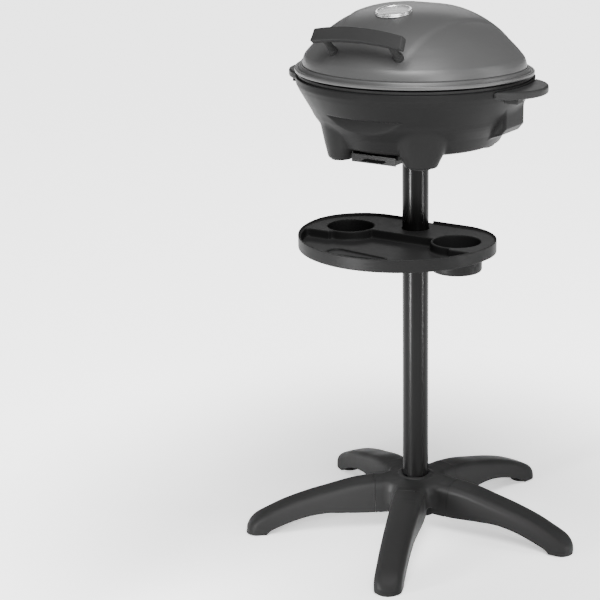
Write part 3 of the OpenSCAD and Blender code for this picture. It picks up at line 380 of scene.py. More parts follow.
# %% Metals
zinc = new_finish("zinc", 0.5, 0.62, 0.28, metal=1.0, grain=800)
chrome = new_finish("chrome", 0.62, 0.7, 0.09, rough_spread=0.04, metal=1.0,
                    grain=300, grain_height=0.00001)
bright_aluminium = new_finish("bright_aluminium", 0.62, 0.72, 0.25, metal=1.0,
                              cloud=14.0, grain=500)
black_enamel = new_finish("black_enamel", 0.005, 0.007, 0.34, cloud=20.0,
                          grain=400, gloss=0.08)
satin_chrome = new_finish("satin_chrome", 0.78, 0.84, 0.27, rough_spread=0.02,
                          metal=1.0, grain=300, grain_height=0.00001)
burnt_steel = new_finish("burnt_steel", (0.1, 0.085, 0.075), (0.22, 0.209, 0.198), 0.42,
                         metal=0.9, cloud=40.0)
galvanised = new_finish("galvanised", 0.35, 0.48, 0.35, metal=1.0, cloud=60.0)

# %% Ceramic, lamp lens, dial and glass
ceramic = new_finish("ceramic", (0.6, 0.57, 0.516), (0.68, 0.6528, 0.5984), 0.5)
lamp_lens = new_finish("lamp_lens", (0.55, 0.1925, 0.066), (0.65, 0.273, 0.117), 0.2)
fill(shader_of(lamp_lens), Transmission_Weight=0.4)
dial_white = new_finish("dial_white", 0.4, 0.46, 0.35, grain=400)
needle_paint = new_finish("needle_paint", 0.02, 0.03, 0.35)
gauge_glass = new_finish("gauge_glass", 0.96, 1.0, 0.03, rough_spread=0.01,
                         grain=200, grain_height=0.000002)
fill(shader_of(gauge_glass), Specular_IOR_Level=0.5, Alpha=0.15)
print(len(bpy.data.materials), "finishes")

# %% [markdown]
# ## Dress the CAD's own nodes
# A node whose shape is already right keeps its mesh and only gets a finish.

# %% Which finish each node wears
DRESS = {
    base_plastic: "base_hub leg_1 leg_2 leg_3 leg_4 leg_5 post_cap socket_lock_screw",
    tray_plastic: "utensil_tray",
    post_paint: "lower_post upper_post",
    pad_rubber: "foot_pads housing_foot_pads",
    zinc: "leg_screws hub_bolt tray_screw handle_screws socket_screws hinge_screws "
          "leaf_screws grip_screws gauge_nut thermostat_probe",
    galvanised: "post_plug post_joiner",
    housing_plastic: "lower_housing post_socket drip_tray_rails thermostat_inlet",
    handle_plastic: "left_handle right_handle grip_bar grip_posts",
    bright_aluminium: "heat_reflector",
    black_enamel: "drip_tray",
    burnt_steel: "heating_element",
    plate_coating: "cooking_plate element_clips",
    ceramic: "terminal_block",
    thermostat_plastic: "thermostat_body thermostat_dial",
    lamp_lens: "dial_lamp_ring",
    lid_paint: "lid_dome lid_edge",
    chrome: "hinge_bases hinge_pins hinge_leaves plug_pins",
    satin_chrome: "gauge_case",
    dial_white: "gauge_face",
    needle_paint: "gauge_needle",
    gauge_glass: "gauge_glass",
    cord_pvc: "cord_tube cord_coil cord_coil_tie cord_post_tie mains_plug cord_strain_relief",
}


def wear(piece, finish):
    piece.data.materials.clear()
    piece.data.materials.append(finish)


for finish, names in DRESS.items():
    for name in names.split():
        wear(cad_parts[name], finish)
wear(mains_cord, cord_pvc)
bare = set(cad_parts) - set(" ".join(DRESS.values()).split())
print("nodes without a finish:", sorted(bare) or "none")

# %% [markdown]
# The floor glows a little, and more with the distance, so that it runs into a white
# background while it still takes a soft shadow near the feet.

# %% The floor's glow
GLOW_NEAR = 0.6
GLOW_FAR = 3.0

floor_white = new_finish("floor_white", 0.86, 0.88, 0.6, grain_height=0.0)
floor_nodes, floor_links = floor_white.node_tree.nodes, floor_white.node_tree.links
floor_shader = shader_of(floor_white)
fill(floor_shader, Specular_IOR_Level=0.1, Emission_Color=(1, 1, 1, 1))
floor_place = floor_nodes.new("ShaderNodeTexCoord")
floor_distance = floor_nodes.new("ShaderNodeVectorMath")
floor_distance.operation = "LENGTH"
floor_links.new(floor_place.outputs["Object"], floor_distance.inputs[0])
floor_glow = soft_ramp(floor_nodes, 0.25, 1.1)
fill(floor_glow, To_Min=GLOW_NEAR, To_Max=GLOW_FAR)
floor_links.new(floor_distance.outputs["Value"], floor_glow.inputs["Value"])
floor_links.new(floor_glow.outputs["Result"], floor_shader.inputs["Emission Strength"])
wear(studio_floor, floor_white)
print(f"the floor glows from {GLOW_NEAR} near the feet to {GLOW_FAR} far away")

# %% [markdown]
# ## Moulded shapes from distance fields
# Injection-moulded plastic has no sharp inside corner: every rib runs into its wall with a
# fillet. Such shapes are hard to pull from boxes, but easy to say as a distance field, a
# function that is negative inside the plastic and positive outside. Two fields join with
# `melt`, which leaves a fillet, and one is cut with `trim`, which leaves a rounded edge. The
# skin where the field is zero is then meshed cell by cell, which is called surface nets, and
# every vertex is slid along the field's slope until it lies on the skin.

# %% Distance helpers
def melt(a, b, fillet):
    """The union of two fields with a fillet in the corner between them."""
    share = np.clip(0.5 + 0.5 * (b - a) / fillet, 0, 1)
    return b * (1 - share) + a * share - fillet * share * (1 - share)


def trim(a, b, edge):
    """The overlap of two fields with a rounded edge where they meet."""
    return -melt(-a, -b, edge)


def outline_distance(u, v, points):
    """Signed distance from a closed outline in the plane, negative inside it."""
    nearest = np.full(np.broadcast(u, v).shape, 1e9)
    inside = np.zeros(nearest.shape, bool)
    for (ax, ay), (bx, by) in zip(points, points[1:] + points[:1]):
        dx, dy = bx - ax, by - ay
        along = np.clip(((u - ax) * dx + (v - ay) * dy) / (dx * dx + dy * dy), 0, 1)
        nearest = np.minimum(nearest, np.hypot(u - ax - along * dx, v - ay - along * dy))
        if dy != 0:
            crosses = ((ay > v) != (by > v)) & (u < ax + (v - ay) * dx / dy)
            inside = inside ^ crosses
    return np.where(inside, -nearest, nearest)


def slab(value, low, high):
    return np.maximum(low - value, value - high)


# %% Mesh the skin of a field
def skin_of(field, low, high, cell):
    """Vertices and quads on the surface where field(x, y, z) is zero."""
    low = np.array(low) - 1.5 * cell
    counts = np.ceil((np.array(high) + 1.5 * cell - low) / cell).astype(int) + 1
    axes = [low[k] + cell * np.arange(counts[k]) for k in range(3)]
    grid = np.meshgrid(*axes, indexing="ij", sparse=True)
    value = np.broadcast_to(field(*grid), tuple(counts))
    inside = value < 0
    spots, cells, quads = [], [], []
    strides = np.array([counts[1] * counts[2], counts[2], 1])
    for axis in range(3):
        near = [slice(1, -1)] * 3
        near[axis] = slice(0, -1)
        far = list(near)
        far[axis] = slice(1, None)
        crossed = inside[tuple(near)] != inside[tuple(far)]
        at = np.argwhere(crossed)
        start, end = value[tuple(near)][crossed], value[tuple(far)][crossed]
        at[:, [k for k in range(3) if k != axis]] += 1
        spot = at.astype(float)
        spot[:, axis] += start / (start - end)
        u, v = (axis + 1) % 3, (axis + 2) % 3
        base = at @ strides
        around = np.stack([base, base - strides[u], base - strides[u] - strides[v],
                           base - strides[v]], 1)
        spots.append(np.repeat(spot, 4, axis=0))
        cells.append(around.reshape(-1))
        quads.append(np.where((start < 0)[:, None], around, around[:, ::-1]))
    spots, cells = np.concatenate(spots), np.concatenate(cells)
    names, place = np.unique(cells, return_inverse=True)
    total = np.bincount(place)
    verts = np.stack([np.bincount(place, spots[:, k]) / total for k in range(3)], 1)
    verts = low + cell * verts
    quads = np.searchsorted(names, np.concatenate(quads))
    return settle(field, verts, cell), quads


def settle(field, verts, cell, passes=5):
    """Slides each vertex along the field's slope onto the skin, by a cell at most."""
    nudge = cell * 0.05
    home = verts.copy()
    for _ in range(passes):
        x, y, z = verts.T
        value = field(x, y, z)
        slope = np.stack([field(x + nudge, y, z) - value, field(x, y + nudge, z) - value,
                          field(x, y, z + nudge) - value], 1) / nudge
        steep = np.maximum((slope ** 2).sum(1), 0.5)
        step = slope * (value / steep)[:, None]
        verts = home + np.clip(verts - 0.8 * step - home, -0.9 * cell, 0.9 * cell)
    return verts


def cast(name, field, box, cell, finish, body, node_names, slot_name):
    """Makes a moulded piece from its field and lets it stand for its CAD nodes."""
    verts, quads = skin_of(field, *box, cell)
    add_piece(name, verts, quads, finish, body, node_names, slot_name)


def add_piece(name, verts, faces, finish, body, node_names=(), slot_name=None, crisp=0):
    """Makes a closed mesh piece, turns its faces outward, hangs it on its body and hides the
    CAD nodes it stands for.
    """
    mesh = bpy.data.meshes.new(name)
    mesh.from_pydata([tuple(map(float, v)) for v in verts], [],
                     [tuple(map(int, f)) for f in faces])
    work = bmesh.new()
    work.from_mesh(mesh)
    bmesh.ops.recalc_face_normals(work, faces=work.faces)
    work.to_mesh(mesh)
    work.free()
    mesh.shade_smooth()
    piece = show(name, mesh)
    wear(piece, finish)
    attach(piece, body)
    if node_names:
        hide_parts(*node_names)
    if crisp:
        mesh.set_sharp_from_angle(angle=radians(crisp))
    print(f"{name}: {len(verts)} vertices, {len(faces)} faces")


# %% [markdown]
# Round parts are turned and rims are swept. `turned` spins a profile of radius and height
# about an axis, and `swept` carries a closed profile round an outline. Both take profiles
# that `smooth_loop` has drawn through a few points.

# %% Turned and swept pieces
def smooth_loop(points, per, closed=True):
    """A smooth line through the points, with so many steps between each two of them."""
    spots = [Vector((p[0], p[1], 0)) for p in points]
    count = len(spots)
    out = []
    for k in range(count if closed else count - 1):
        if closed:
            a, b, c, d = (spots[(k + j) % count] for j in (-1, 0, 1, 2))
        else:
            a, b, c, d = (spots[min(max(k + j, 0), count - 1)] for j in (-1, 0, 1, 2))
        for step in range(per):
            p = spline_point(a, b, c, d, step / per)
            out.append((p.x, p.y))
    if not closed:
        out.append(tuple(points[-1]))
    return out


def spun(profile, axis, sides):
    """A profile of (radius, height) carried round an axis, as rings of vertices."""
    return moved(axis, [(r * cos(a), r * sin(a), z)
                        for r, z in profile for a in ring_angles(sides)])


def turned(profile, axis, sides):
    """Vertices and faces of a solid of revolution; the profile runs from axis to axis."""
    return spun(profile, axis, sides), capped_rings(len(profile), sides)


def turned_ring(profile, axis, sides):
    """The same with a closed profile that stays clear of the axis, as in a washer."""
    return spun(profile, axis, sides), ring_quads(len(profile), sides, True)


def swept(profile, place, sides):
    """Carries a closed profile of (inset, height) round an outline given by place."""
    turns = ring_angles(sides)
    verts = np.concatenate([place(turns, inset, height) for inset, height in profile])
    return verts, ring_quads(len(profile), sides, True)


def join(*parts):
    """Several lists of vertices and faces as one."""
    verts, faces = [], []
    for more_verts, more_faces in parts:
        start = len(verts)
        verts += [tuple(v) for v in more_verts]
        faces += [tuple(start + i for i in face) for face in more_faces]
    return verts, faces


# %% [markdown]
# ## The lid
# The lid is drawn from sheet metal, so it's a skin of even thickness. Its height falls from
# the crown as a power of the way to the foot, which keeps the crown broad and the sides
# steep. On each side a pressed crease runs from the handle to the back and lets the side
# panel sit a little lower.

# %% Plan of the head
HEAD_BACK = 0.172
HEAD_CORNER = 0.212
CORNER_TURN = radians(47.7)
RIM_R = 0.222
LID_R = 0.2225
LID_Z = HEAD_Z + 0.148
LIP_RISE = 0.0032
CORNER_SHARPNESS = 24.0


def head_reach(turns, inset, middle_y=0.0):
    """How far the head's outline is from a point on its centre line, with soft corners."""
    dx, dy = np.cos(turns), np.sin(turns)
    across = dy * middle_y
    arc = np.sqrt(across ** 2 - middle_y ** 2 + (LID_R - inset) ** 2) - across
    back = np.where(dy > 0.01, (HEAD_BACK - inset - middle_y) / np.maximum(dy, 0.01), 9)
    facing = np.abs(dx) * cos(CORNER_TURN) + dy * sin(CORNER_TURN)
    cut = HEAD_CORNER - inset - sin(CORNER_TURN) * middle_y
    corner = np.where(facing > 0.01, cut / np.maximum(facing, 0.01), 9)
    together = sum(far ** -CORNER_SHARPNESS for far in (arc, back, corner))
    return together ** (-1 / CORNER_SHARPNESS)


def front_lift(y):
    """The pressed edge rises a little toward the front, where the lid's lip is."""
    return LIP_RISE * ease(np.clip((0.13 - y) / 0.22, 0, 1))


def round_the_head(turns, inset, height):
    """Points on the lid's outline at one inset and one height above the lid's lower edge."""
    reach = head_reach(turns, inset)
    x, y = reach * np.cos(turns), reach * np.sin(turns)
    return np.stack([POST_X + x, POST_Y + y, LID_Z + height + front_lift(y)], 1)


# %% Dome
CROWN_Y = -0.002
DOME_INSET = 0.0155
DOME_SKIRT = 0.016
DOME_RISE = 0.114
DOME_POWER = 2.85
DOME_FOOT = LID_Z + 0.01
CREASE_DROP = 0.0022
SHEET = 0.0016


def dome_height(share):
    return DOME_FOOT + DOME_SKIRT + (DOME_RISE - DOME_SKIRT) * (1 - share ** DOME_POWER)


def crease_drop(x, y, share):
    """How much lower the panel beside a pressed crease is."""
    past = np.abs(x) - 0.122 - 0.26 * y
    step = CREASE_DROP * ease(np.clip(past / 0.009 + 0.5, 0, 1))
    fade = np.clip((0.985 - share) / 0.12, 0, 1)
    valley = 0.0006 * np.exp(-(past / 0.0035) ** 2)
    return (step * np.exp(-np.maximum(past, 0) / 0.06) + valley) * fade


def dome_skin(sides=288, rings=64):
    """The sheet's outer and inner skins, joined at the foot and closed at the crown."""
    turns = ring_angles(sides)
    ray = head_reach(turns, DOME_INSET, CROWN_Y)
    line = [(s, dome_height(s)) for s in np.linspace(0.02, 0.972, rings)]
    start, bend, end = line[-1], (1.0, dome_height(0.996)), (1.008, DOME_FOOT + 0.001)
    for t in np.linspace(0, 1, 10)[1:]:
        line.append(tuple((1 - t) ** 2 * start[k] + 2 * t * (1 - t) * bend[k] + t * t * end[k]
                          for k in range(2)))
    outside, inside = [], []
    for share, height in line:
        x, y = ray * share * np.cos(turns), CROWN_Y + ray * share * np.sin(turns)
        drop = crease_drop(x, y, share) - front_lift(y) * min(share, 1) ** 8
        outside.append(np.stack([x, y, height - drop], 1))
        within = (ray * share - SHEET * min(share * 1.2, 1)) / np.maximum(ray * share, 1e-6)
        inside.append(np.stack([x * within, CROWN_Y + (y - CROWN_Y) * within,
                                height - drop - SHEET * (1.2 - share)], 1))
    verts = np.concatenate(outside + inside[::-1])
    verts[:, 0] += POST_X
    verts[:, 1] += POST_Y
    return verts, capped_rings(2 * len(line), sides)


add_piece("lid_skin", *dome_skin(), lid_paint, "lid", ["lid_dome"], "lid_enamel")

# %% [markdown]
# The lid's edge is the same sheet rolled over: a raised ridge at the dome's foot, a groove
# and a rounded bead that turns back under itself.

# %% Rolled edge
EDGE_PROFILE = [  # inset from the outline, height above the lid's lower edge
    (0.0014, 0.0002), (0.0003, 0.001), (0.0, 0.003), (0.0002, 0.0054), (0.001, 0.0069),
    (0.0026, 0.0074), (0.0042, 0.0066), (0.0056, 0.0055), (0.007, 0.0058), (0.008, 0.0078),
    (0.009, 0.0104), (0.0104, 0.0122), (0.0124, 0.0127), (0.0142, 0.0117), (0.0154, 0.0098),
    (0.0172, 0.009), (0.019, 0.0088), (0.019, 0.0076), (0.0168, 0.0076), (0.0144, 0.0092),
    (0.0124, 0.0108), (0.0108, 0.0102), (0.0094, 0.007), (0.008, 0.0044), (0.006, 0.0036),
    (0.004, 0.0044), (0.0026, 0.0052), (0.0018, 0.0046), (0.0017, 0.0026), (0.0026, 0.0018),
    (0.003, 0.0008),
]
rolled_edge = swept(smooth_loop(EDGE_PROFILE, 3), round_the_head, 288)
add_piece("lid_rolled_edge", *rolled_edge, lid_paint, "lid", ["lid_edge"], "lid_enamel")

# %% [markdown]
# ## The lower housing
# The housing is one moulding: a bowl with a flat back and two cut corners, four half-cone
# feet, a box under each side handle and a flat crescent cut out of its front. The bowl is
# said as an outline in radius and height, and everything else melts into it.

# %% Plan and wall of the housing
def head_plan(x, y, inset):
    """Distance from the head's outline: a circle, a flat back and two cut-off corners."""
    corner = np.abs(x) * cos(CORNER_TURN) + y * sin(CORNER_TURN) - HEAD_CORNER
    flat = np.maximum(y - HEAD_BACK, corner) + inset
    return trim(np.hypot(x, y) - RIM_R + inset, flat, 0.006)


BOWL_WALL = [
    (0.0, 0.02), (0.148, 0.02), (0.158, 0.024), (0.172, 0.048), (0.185, 0.0655),
    (0.1892, 0.072), (0.193, 0.08), (0.2155, 0.119), (0.2188, 0.1258), (0.2212, 0.13),
    (0.222, 0.1425), (0.0, 0.1425),
]
FOOT_CONES = [  # middle x, middle y, height, radius at the floor, how much wider at the top
    (-0.085, -0.127, 0.084, 0.021, 0.016), (0.085, -0.127, 0.084, 0.021, 0.016),
    (-0.09, 0.095, 0.06, 0.023, 0.013), (0.09, 0.095, 0.06, 0.023, 0.013),
]
HOUSING_WALL = 0.0045
CRESCENT_Y = -0.182
CRESCENT_LOW = 0.052
CRESCENT_HIGH = 0.089


def foot_cones(x, y, z, inset):
    """The four half-cone feet."""
    field = 1.0
    for middle_x, middle_y, height, low_r, flare in FOOT_CONES:
        reach = hypot(middle_x, middle_y)
        outward = ((x - middle_x) * middle_x + (y - middle_y) * middle_y) / reach
        sideways = ((x - middle_x) * middle_y - (y - middle_y) * middle_x) / reach
        wide = 1.35 + 0.22 * np.clip(z / 0.024, 0, 1) if middle_y < 0 else 1.0
        wall = np.hypot(outward, sideways / wide) - low_r - flare * z / height + inset
        cone = trim(wall, inset - z, 0.004)
        field = np.minimum(field, np.maximum(cone, z - height - 0.012))
    return field


def housing_field(x, y, z):
    x, y, z = x - POST_X, y - POST_Y, z - HEAD_Z
    rho = np.hypot(x, y)
    bowl = outline_distance(rho, z, BOWL_WALL)
    bowl = trim(bowl, head_plan(x, y, 0), 0.003)
    side_box = trim(
        outline_distance(np.abs(x), z, [
            (0.15, 0.036), (0.19, 0.05), (0.2, 0.062), (0.2, 0.124), (0.15, 0.124)]),
        slab(y, -0.025, 0.052), 0.006)
    feet = np.maximum(foot_cones(x, y, z, 0), rho - 0.206)
    outer = melt(bowl, feet, 0.003)
    outer = melt(outer, side_box, 0.004)
    crescent = np.maximum(y - CRESCENT_Y, slab(z, CRESCENT_LOW, CRESCENT_HIGH))
    outer = trim(outer, -crescent, 0.0015)
    behind = np.maximum(y - CRESCENT_Y - HOUSING_WALL,
                        slab(z, CRESCENT_LOW - HOUSING_WALL, CRESCENT_HIGH + HOUSING_WALL))
    hollow = np.maximum(np.maximum(bowl + HOUSING_WALL, z - 0.139), -behind)
    hollow = np.minimum(hollow, np.maximum(foot_cones(x, y, z, HOUSING_WALL), z - 0.06))
    lip = np.maximum(head_plan(x, y, 0.014), 0.137 - z)
    shell = trim(outer, -np.minimum(hollow, lip), 0.001)
    bores = np.minimum(rho - POST_R - 0.0044, np.hypot(x, y + 0.095) - 0.01)
    return np.maximum(shell, -np.maximum(bores, z - 0.03))


cast("housing_shell", housing_field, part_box("lower_housing"), 0.002, housing_plastic, "head",
     ["lower_housing"], "housing_plastic")

# %% [markdown]
# ## Side handles
# Each handle is a shallow wing whose edge is one arc. Its upper edge is rounded for the
# hand, and it's hollow below, so that only a skirt stands round its edge.

# %% Side handles
HANDLE_REACH = 0.263
HANDLE_HALF = 0.083
HANDLE_Z = (0.125, 0.1395)
HANDLE_ROOT = RIM_R + 0.0004
HANDLE_RIB_Y = 0.0415


def wing_field(side):
    """The field of the left (-1) or right (1) handle."""
    root = sqrt(RIM_R ** 2 - HANDLE_HALF ** 2)
    rise = HANDLE_REACH - root
    arc_r = (HANDLE_HALF ** 2 + rise ** 2) / (2 * rise)

    def field(x, y, z):
        x, y, z = side * (x - POST_X), y - POST_Y, z - HEAD_Z
        rho = np.hypot(x, y)
        edge = np.hypot(x - HANDLE_REACH + arc_r, y) - arc_r
        body = np.maximum(trim(edge, slab(z, *HANDLE_Z), 0.0045), HANDLE_ROOT - rho)
        pocket = np.maximum(edge + 0.0035, z - HANDLE_Z[1] + 0.0045)
        beside = np.abs(np.abs(y) - HANDLE_RIB_Y)
        ribs = np.minimum(beside - 0.007, np.abs(y) - 0.0012)
        pocket = np.maximum(np.maximum(pocket, -ribs), RIM_R + 0.003 - rho)
        body = np.maximum(body, -pocket)
        tab = np.maximum(np.maximum(slab(z, HANDLE_Z[0] - 0.009, HANDLE_Z[0] + 0.002),
                                    beside - 0.011),
                         np.maximum(slab(x, 0.2, 0.238), 0.2168 - rho))
        return np.minimum(body, tab)
    return field


for side, name in ((-1, "left_handle"), (1, "right_handle")):
    low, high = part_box(name)
    box = low, (high.x, high.y, HEAD_Z + HANDLE_Z[1])
    cast(name + "_wing", wing_field(side), box, 0.0015, handle_plastic, "head",
         [name], "housing_plastic")

# %% [markdown]
# ## The lid's handle
# The bar is bowed in plan, arched in front view and leans back, so that its broad face looks
# up at the cook. Two sleeves carry it on the dome.

# %% Handle bar
GRIP_MIDDLE = Vector((POST_X, POST_Y - 0.2, HEAD_Z + 0.231))
GRIP_TILT = radians(31)
GRIP_HALF = 0.093
GRIP_T = 0.015
GRIP_H = 0.024


def bar_field(x, y, z):
    """The lid's handle: deep and tall are measured across the leaning bar."""
    along = x - GRIP_MIDDLE.x
    across, up = y - GRIP_MIDDLE.y, z - GRIP_MIDDLE.z
    deep = across * cos(GRIP_TILT) - up * sin(GRIP_TILT)
    tall = across * sin(GRIP_TILT) + up * cos(GRIP_TILT)
    bend = 1 - np.minimum((along / GRIP_HALF) ** 2, 1.2)
    deep = deep + 0.01 * bend
    tall = tall - 0.004 * bend
    face = slab(deep + 0.0009 * (tall / 0.012) ** 2, -GRIP_T / 2 + 0.0009, GRIP_T / 2)
    top = slab(tall, -GRIP_H / 2, GRIP_H / 2 + 0.0016 * bend)
    ends = np.abs(along) - GRIP_HALF + 0.08 * (tall + GRIP_H / 2)
    return trim(trim(face, top, 0.0028), ends, 0.003)


cast("lid_handle_bar", bar_field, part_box("grip_bar"), 0.0014, handle_plastic, "lid",
     ["grip_bar"], "grip_plastic")

# %% Handle sleeves
GRIP_POST_X = 0.067
GRIP_FOOT_Y = -0.173
GRIP_LEAN = radians(46)


def dome_at(x, y):
    """Height of the dome over a point of the plan."""
    turn = atan2(y - CROWN_Y, x)
    ray = float(head_reach(np.array([turn]), DOME_INSET, CROWN_Y)[0])
    return dome_height(hypot(x, y - CROWN_Y) / ray)


foot_z = dome_at(GRIP_POST_X, GRIP_FOOT_Y)
sleeve = smooth_loop([
    (0.0005, -0.002), (0.006, -0.002), (0.0088, -0.0015), (0.0092, 0.0005),
    (0.009, 0.004), (0.0086, 0.0085), (0.0082, 0.0095), (0.0072, 0.0102),
    (0.0068, 0.013), (0.0066, 0.022), (0.0065, 0.03), (0.0065, 0.04),
    (0.005, 0.0412), (0.0005, 0.0412)], 3, closed=False)
sleeve_parts = []
for side in (-1, 1):
    stand = (Matrix.Translation((POST_X + side * GRIP_POST_X, POST_Y + GRIP_FOOT_Y, foot_z))
             @ Matrix.Rotation(GRIP_LEAN, 4, "X"))
    sleeve_parts.append(turned(sleeve, stand, 48))
add_piece("lid_handle_sleeves", *join(*sleeve_parts), handle_plastic, "lid",
          ["grip_posts"], "grip_plastic")

# %% [markdown]
# ## The thermometer
# A case of satin chrome with two beads round its rim leans a little in the dome. A dark rubber
# ring holds its glass; its dark colour is also painted shade for the gap between glass and
# bezel.
# Behind that are a printed scale and a needle.

# %% Thermometer case and glass
GAUGE_Y = -0.078
GAUGE_TILT = radians(9)
GAUGE_SINK = 0.006
GAUGE_SIDES = 128


def on_dome(tilt, sink):
    """The thermometer's place on the dome at one lean, sunk in by so much."""
    spot = Matrix.Translation((POST_X, POST_Y + GAUGE_Y, dome_at(0, GAUGE_Y)))
    return spot @ Matrix.Rotation(tilt, 4, "X") @ Matrix.Translation((0, 0, -sink))


gauge_place = on_dome(GAUGE_TILT, GAUGE_SINK)

bezel = smooth_loop([
    (0.0292, -0.0128), (0.0328, -0.0128), (0.0329, -0.009), (0.0329, -0.0046),
    (0.0302, -0.004), (0.0292, 0.0), (0.0296, 0.0032), (0.0318, 0.0035),
    (0.0328, 0.0039), (0.033, 0.0046), (0.0327, 0.0053), (0.0312, 0.0059),
    (0.0298, 0.0065), (0.0312, 0.0072), (0.0329, 0.0076), (0.033, 0.0085),
    (0.0324, 0.0092), (0.0312, 0.0095), (0.0299, 0.0094), (0.0288, 0.0088),
    (0.0284, 0.0078), (0.0286, 0.0066), (0.029, 0.005), (0.029, 0.002)], 3)
back = turned([(0.0003, -0.0128), (0.0289, -0.0128), (0.0289, 0.0008), (0.0003, 0.0008)],
              gauge_place, GAUGE_SIDES)
stem = turned([(0.0003, -0.0228), (0.0028, -0.0228), (0.003, -0.02), (0.003, -0.012),
               (0.0003, -0.012)], gauge_place, 32)
pin = turned([(0.0002, 0.0005), (0.001, 0.0005), (0.001, 0.0042), (0.0002, 0.0043)],
             gauge_place, 24)
case = join(turned_ring(bezel, gauge_place, GAUGE_SIDES), back, stem, pin)
add_piece("thermometer_case", *case, satin_chrome, "lid", ["gauge_case"], "chrome")
# A dark rubber ring under the glass's rim; its dark colour is also painted shade for the gap
# between glass and bezel.
shade_ring_outline = smooth_loop([
    (0.0264, 0.0022), (0.0284, 0.0022), (0.0288, 0.0036), (0.0284, 0.006),
    (0.0276, 0.0066), (0.0266, 0.006)], 2)
add_piece("thermometer_shade_ring", *turned_ring(shade_ring_outline, gauge_place, GAUGE_SIDES), pad_rubber,
          "lid")
add_piece("thermometer_glass", *turned(smooth_loop([
    (0.0003, 0.0072), (0.015, 0.0071), (0.028, 0.0069), (0.0286, 0.0073),
    (0.0281, 0.0079), (0.015, 0.0085), (0.0003, 0.0087)], 3, closed=False),
    gauge_place, 96), gauge_glass, "lid", ["gauge_glass"], "glass")

# %% Printed scale
SCALE_START = radians(-45)
SCALE_SWEEP = radians(-250)
SCALE_MARKS = 50
ARC_PIECES = 48


def bar_at(share, near, far, width, low=0.0017, high=0.002):
    """A thin block that runs outward on the dial, at a share of the scale's sweep."""
    turn = SCALE_START + SCALE_SWEEP * share
    c, s = cos(turn), sin(turn)
    corners = [(near, -width), (far, -width), (far, width), (near, width)]
    verts = [(c * u - s * v, s * u + c * v, z) for z in (low, high) for u, v in corners]
    return moved(gauge_place, verts), capped_rings(2, 4)


marks = []
for k in range(SCALE_MARKS + 1):
    near, width = (0.0222, 0.00035) if k % 5 == 0 else (0.024, 0.00018)
    marks.append(bar_at(k / SCALE_MARKS, near, 0.0262, width))
for k in range(ARC_PIECES):
    marks.append(bar_at((k + 0.5) / ARC_PIECES, 0.0266, 0.027, 0.0009))
add_piece("thermometer_dial", *turned(smooth_loop([
    (0.0003, 0.001), (0.0285, 0.001), (0.0287, 0.0014), (0.0285, 0.0018),
    (0.0003, 0.0018)], 2, closed=False), gauge_place, 96), dial_white, "lid",
    ["gauge_face"], "dial_face")
add_piece("thermometer_scale", *join(*marks), needle_paint, "lid", slot_name="dial_face")

# %% Needle
NEEDLE_TILT = radians(4)
NEEDLE_SINK = 0.0031
needle_place = on_dome(NEEDLE_TILT, NEEDLE_SINK) @ Matrix.Rotation(SCALE_START, 4, "Z")
blade = [(-0.0045, -0.001), (0.0, -0.0013), (0.015, -0.0003), (0.015, 0.0003),
         (0.0, 0.0013), (-0.0045, 0.001)]
blade_verts = moved(needle_place, [(u, v, z) for z in (0.0012, 0.0017) for u, v in blade])
add_piece("thermometer_needle", blade_verts, capped_rings(2, len(blade)), needle_paint,
          "needle", ["gauge_needle"], "needle_red")

# %% [markdown]
# ## The utensil tray
# The tray is one thin moulding with a raised rim, a deep recess at the front, two cup
# holders and a skirt that hides its ribs. Its outline is half a disc in front and two wide
# corners behind.

# %% Tray
TRAY_R = 0.19
TRAY_FWD = 0.058
TRAY_CORNER = 0.106
TRAY_SKIRT = 0.02
TRAY_WALL = 0.003
TRAY_RIM = 0.005
CUP_R = 0.044
CUP_X = 0.115
CUP_Y = -0.047
RECESS_Y = -0.052
RECESS_DEPTH = 0.017
CUP_DEPTH = 0.052


def tray_plan(x, y):
    """Distance from the tray's outline."""
    beyond = np.maximum(np.abs(x) - TRAY_R + TRAY_CORNER, 0)
    front = np.hypot(x, y + TRAY_FWD) - TRAY_R
    rear = np.hypot(beyond, np.maximum(y + TRAY_FWD, 0)) - TRAY_CORNER
    return np.where(y < -TRAY_FWD, front, rear)


def drop_outline(x, y):
    """Distance from a teardrop that lies along the recess's floor."""
    along = np.clip((x + 0.068) / 0.098, 0, 1)
    return np.hypot(x + 0.068 - 0.098 * along, y + 0.171) - 0.019 + 0.0127 * along


def tray_field(x, y, z):
    x, y, z = x - POST_X, y - POST_Y, z - TRAY_Z
    rho = np.hypot(x, y)
    plan = tray_plan(x, y)
    cups = np.hypot(np.abs(x) - CUP_X, y - CUP_Y) - CUP_R
    body = trim(plan, slab(z, -TRAY_SKIRT, TRAY_RIM), 0.0022)
    walls = trim(cups - TRAY_WALL, slab(z, -CUP_DEPTH - TRAY_WALL, -0.002), 0.005)
    boss = np.maximum(rho - 0.031, slab(z, -0.042, -0.001))
    recess = trim(np.maximum(plan + 0.006, y - RECESS_Y), 0.005 - cups, 0.004)
    recess = trim(recess, np.minimum(y + 0.104, np.abs(x) - 0.128), 0.01)
    pocket = trim(recess, -RECESS_DEPTH - z, 0.005)
    under = np.maximum(plan + TRAY_WALL, z + TRAY_WALL)
    under = np.maximum(under, -np.maximum(recess - TRAY_WALL, -RECESS_DEPTH - TRAY_WALL - z))
    body = np.maximum(body, -np.maximum(under, -TRAY_SKIRT - 0.01 - z))
    body = np.minimum(melt(body, walls, 0.003), boss)
    deck = trim(plan + TRAY_WALL - 0.0008, -z, 0.0045)
    body = trim(body, -deck, 0.0014)
    body = trim(body, -pocket, 0.0022)
    body = trim(body, -trim(cups, -CUP_DEPTH - z, 0.006), 0.002)
    ridge = np.maximum(np.abs(drop_outline(x, y)) - 0.0017,
                       slab(z, -RECESS_DEPTH - 0.001, -RECESS_DEPTH + 0.0034))
    body = melt(body, ridge, 0.0008)
    notch = np.maximum(np.abs(x) - 0.012, np.maximum(0.042 - y, -z))
    body = np.maximum(body, -notch)
    return np.maximum(body, POST_R + 0.0001 - rho)


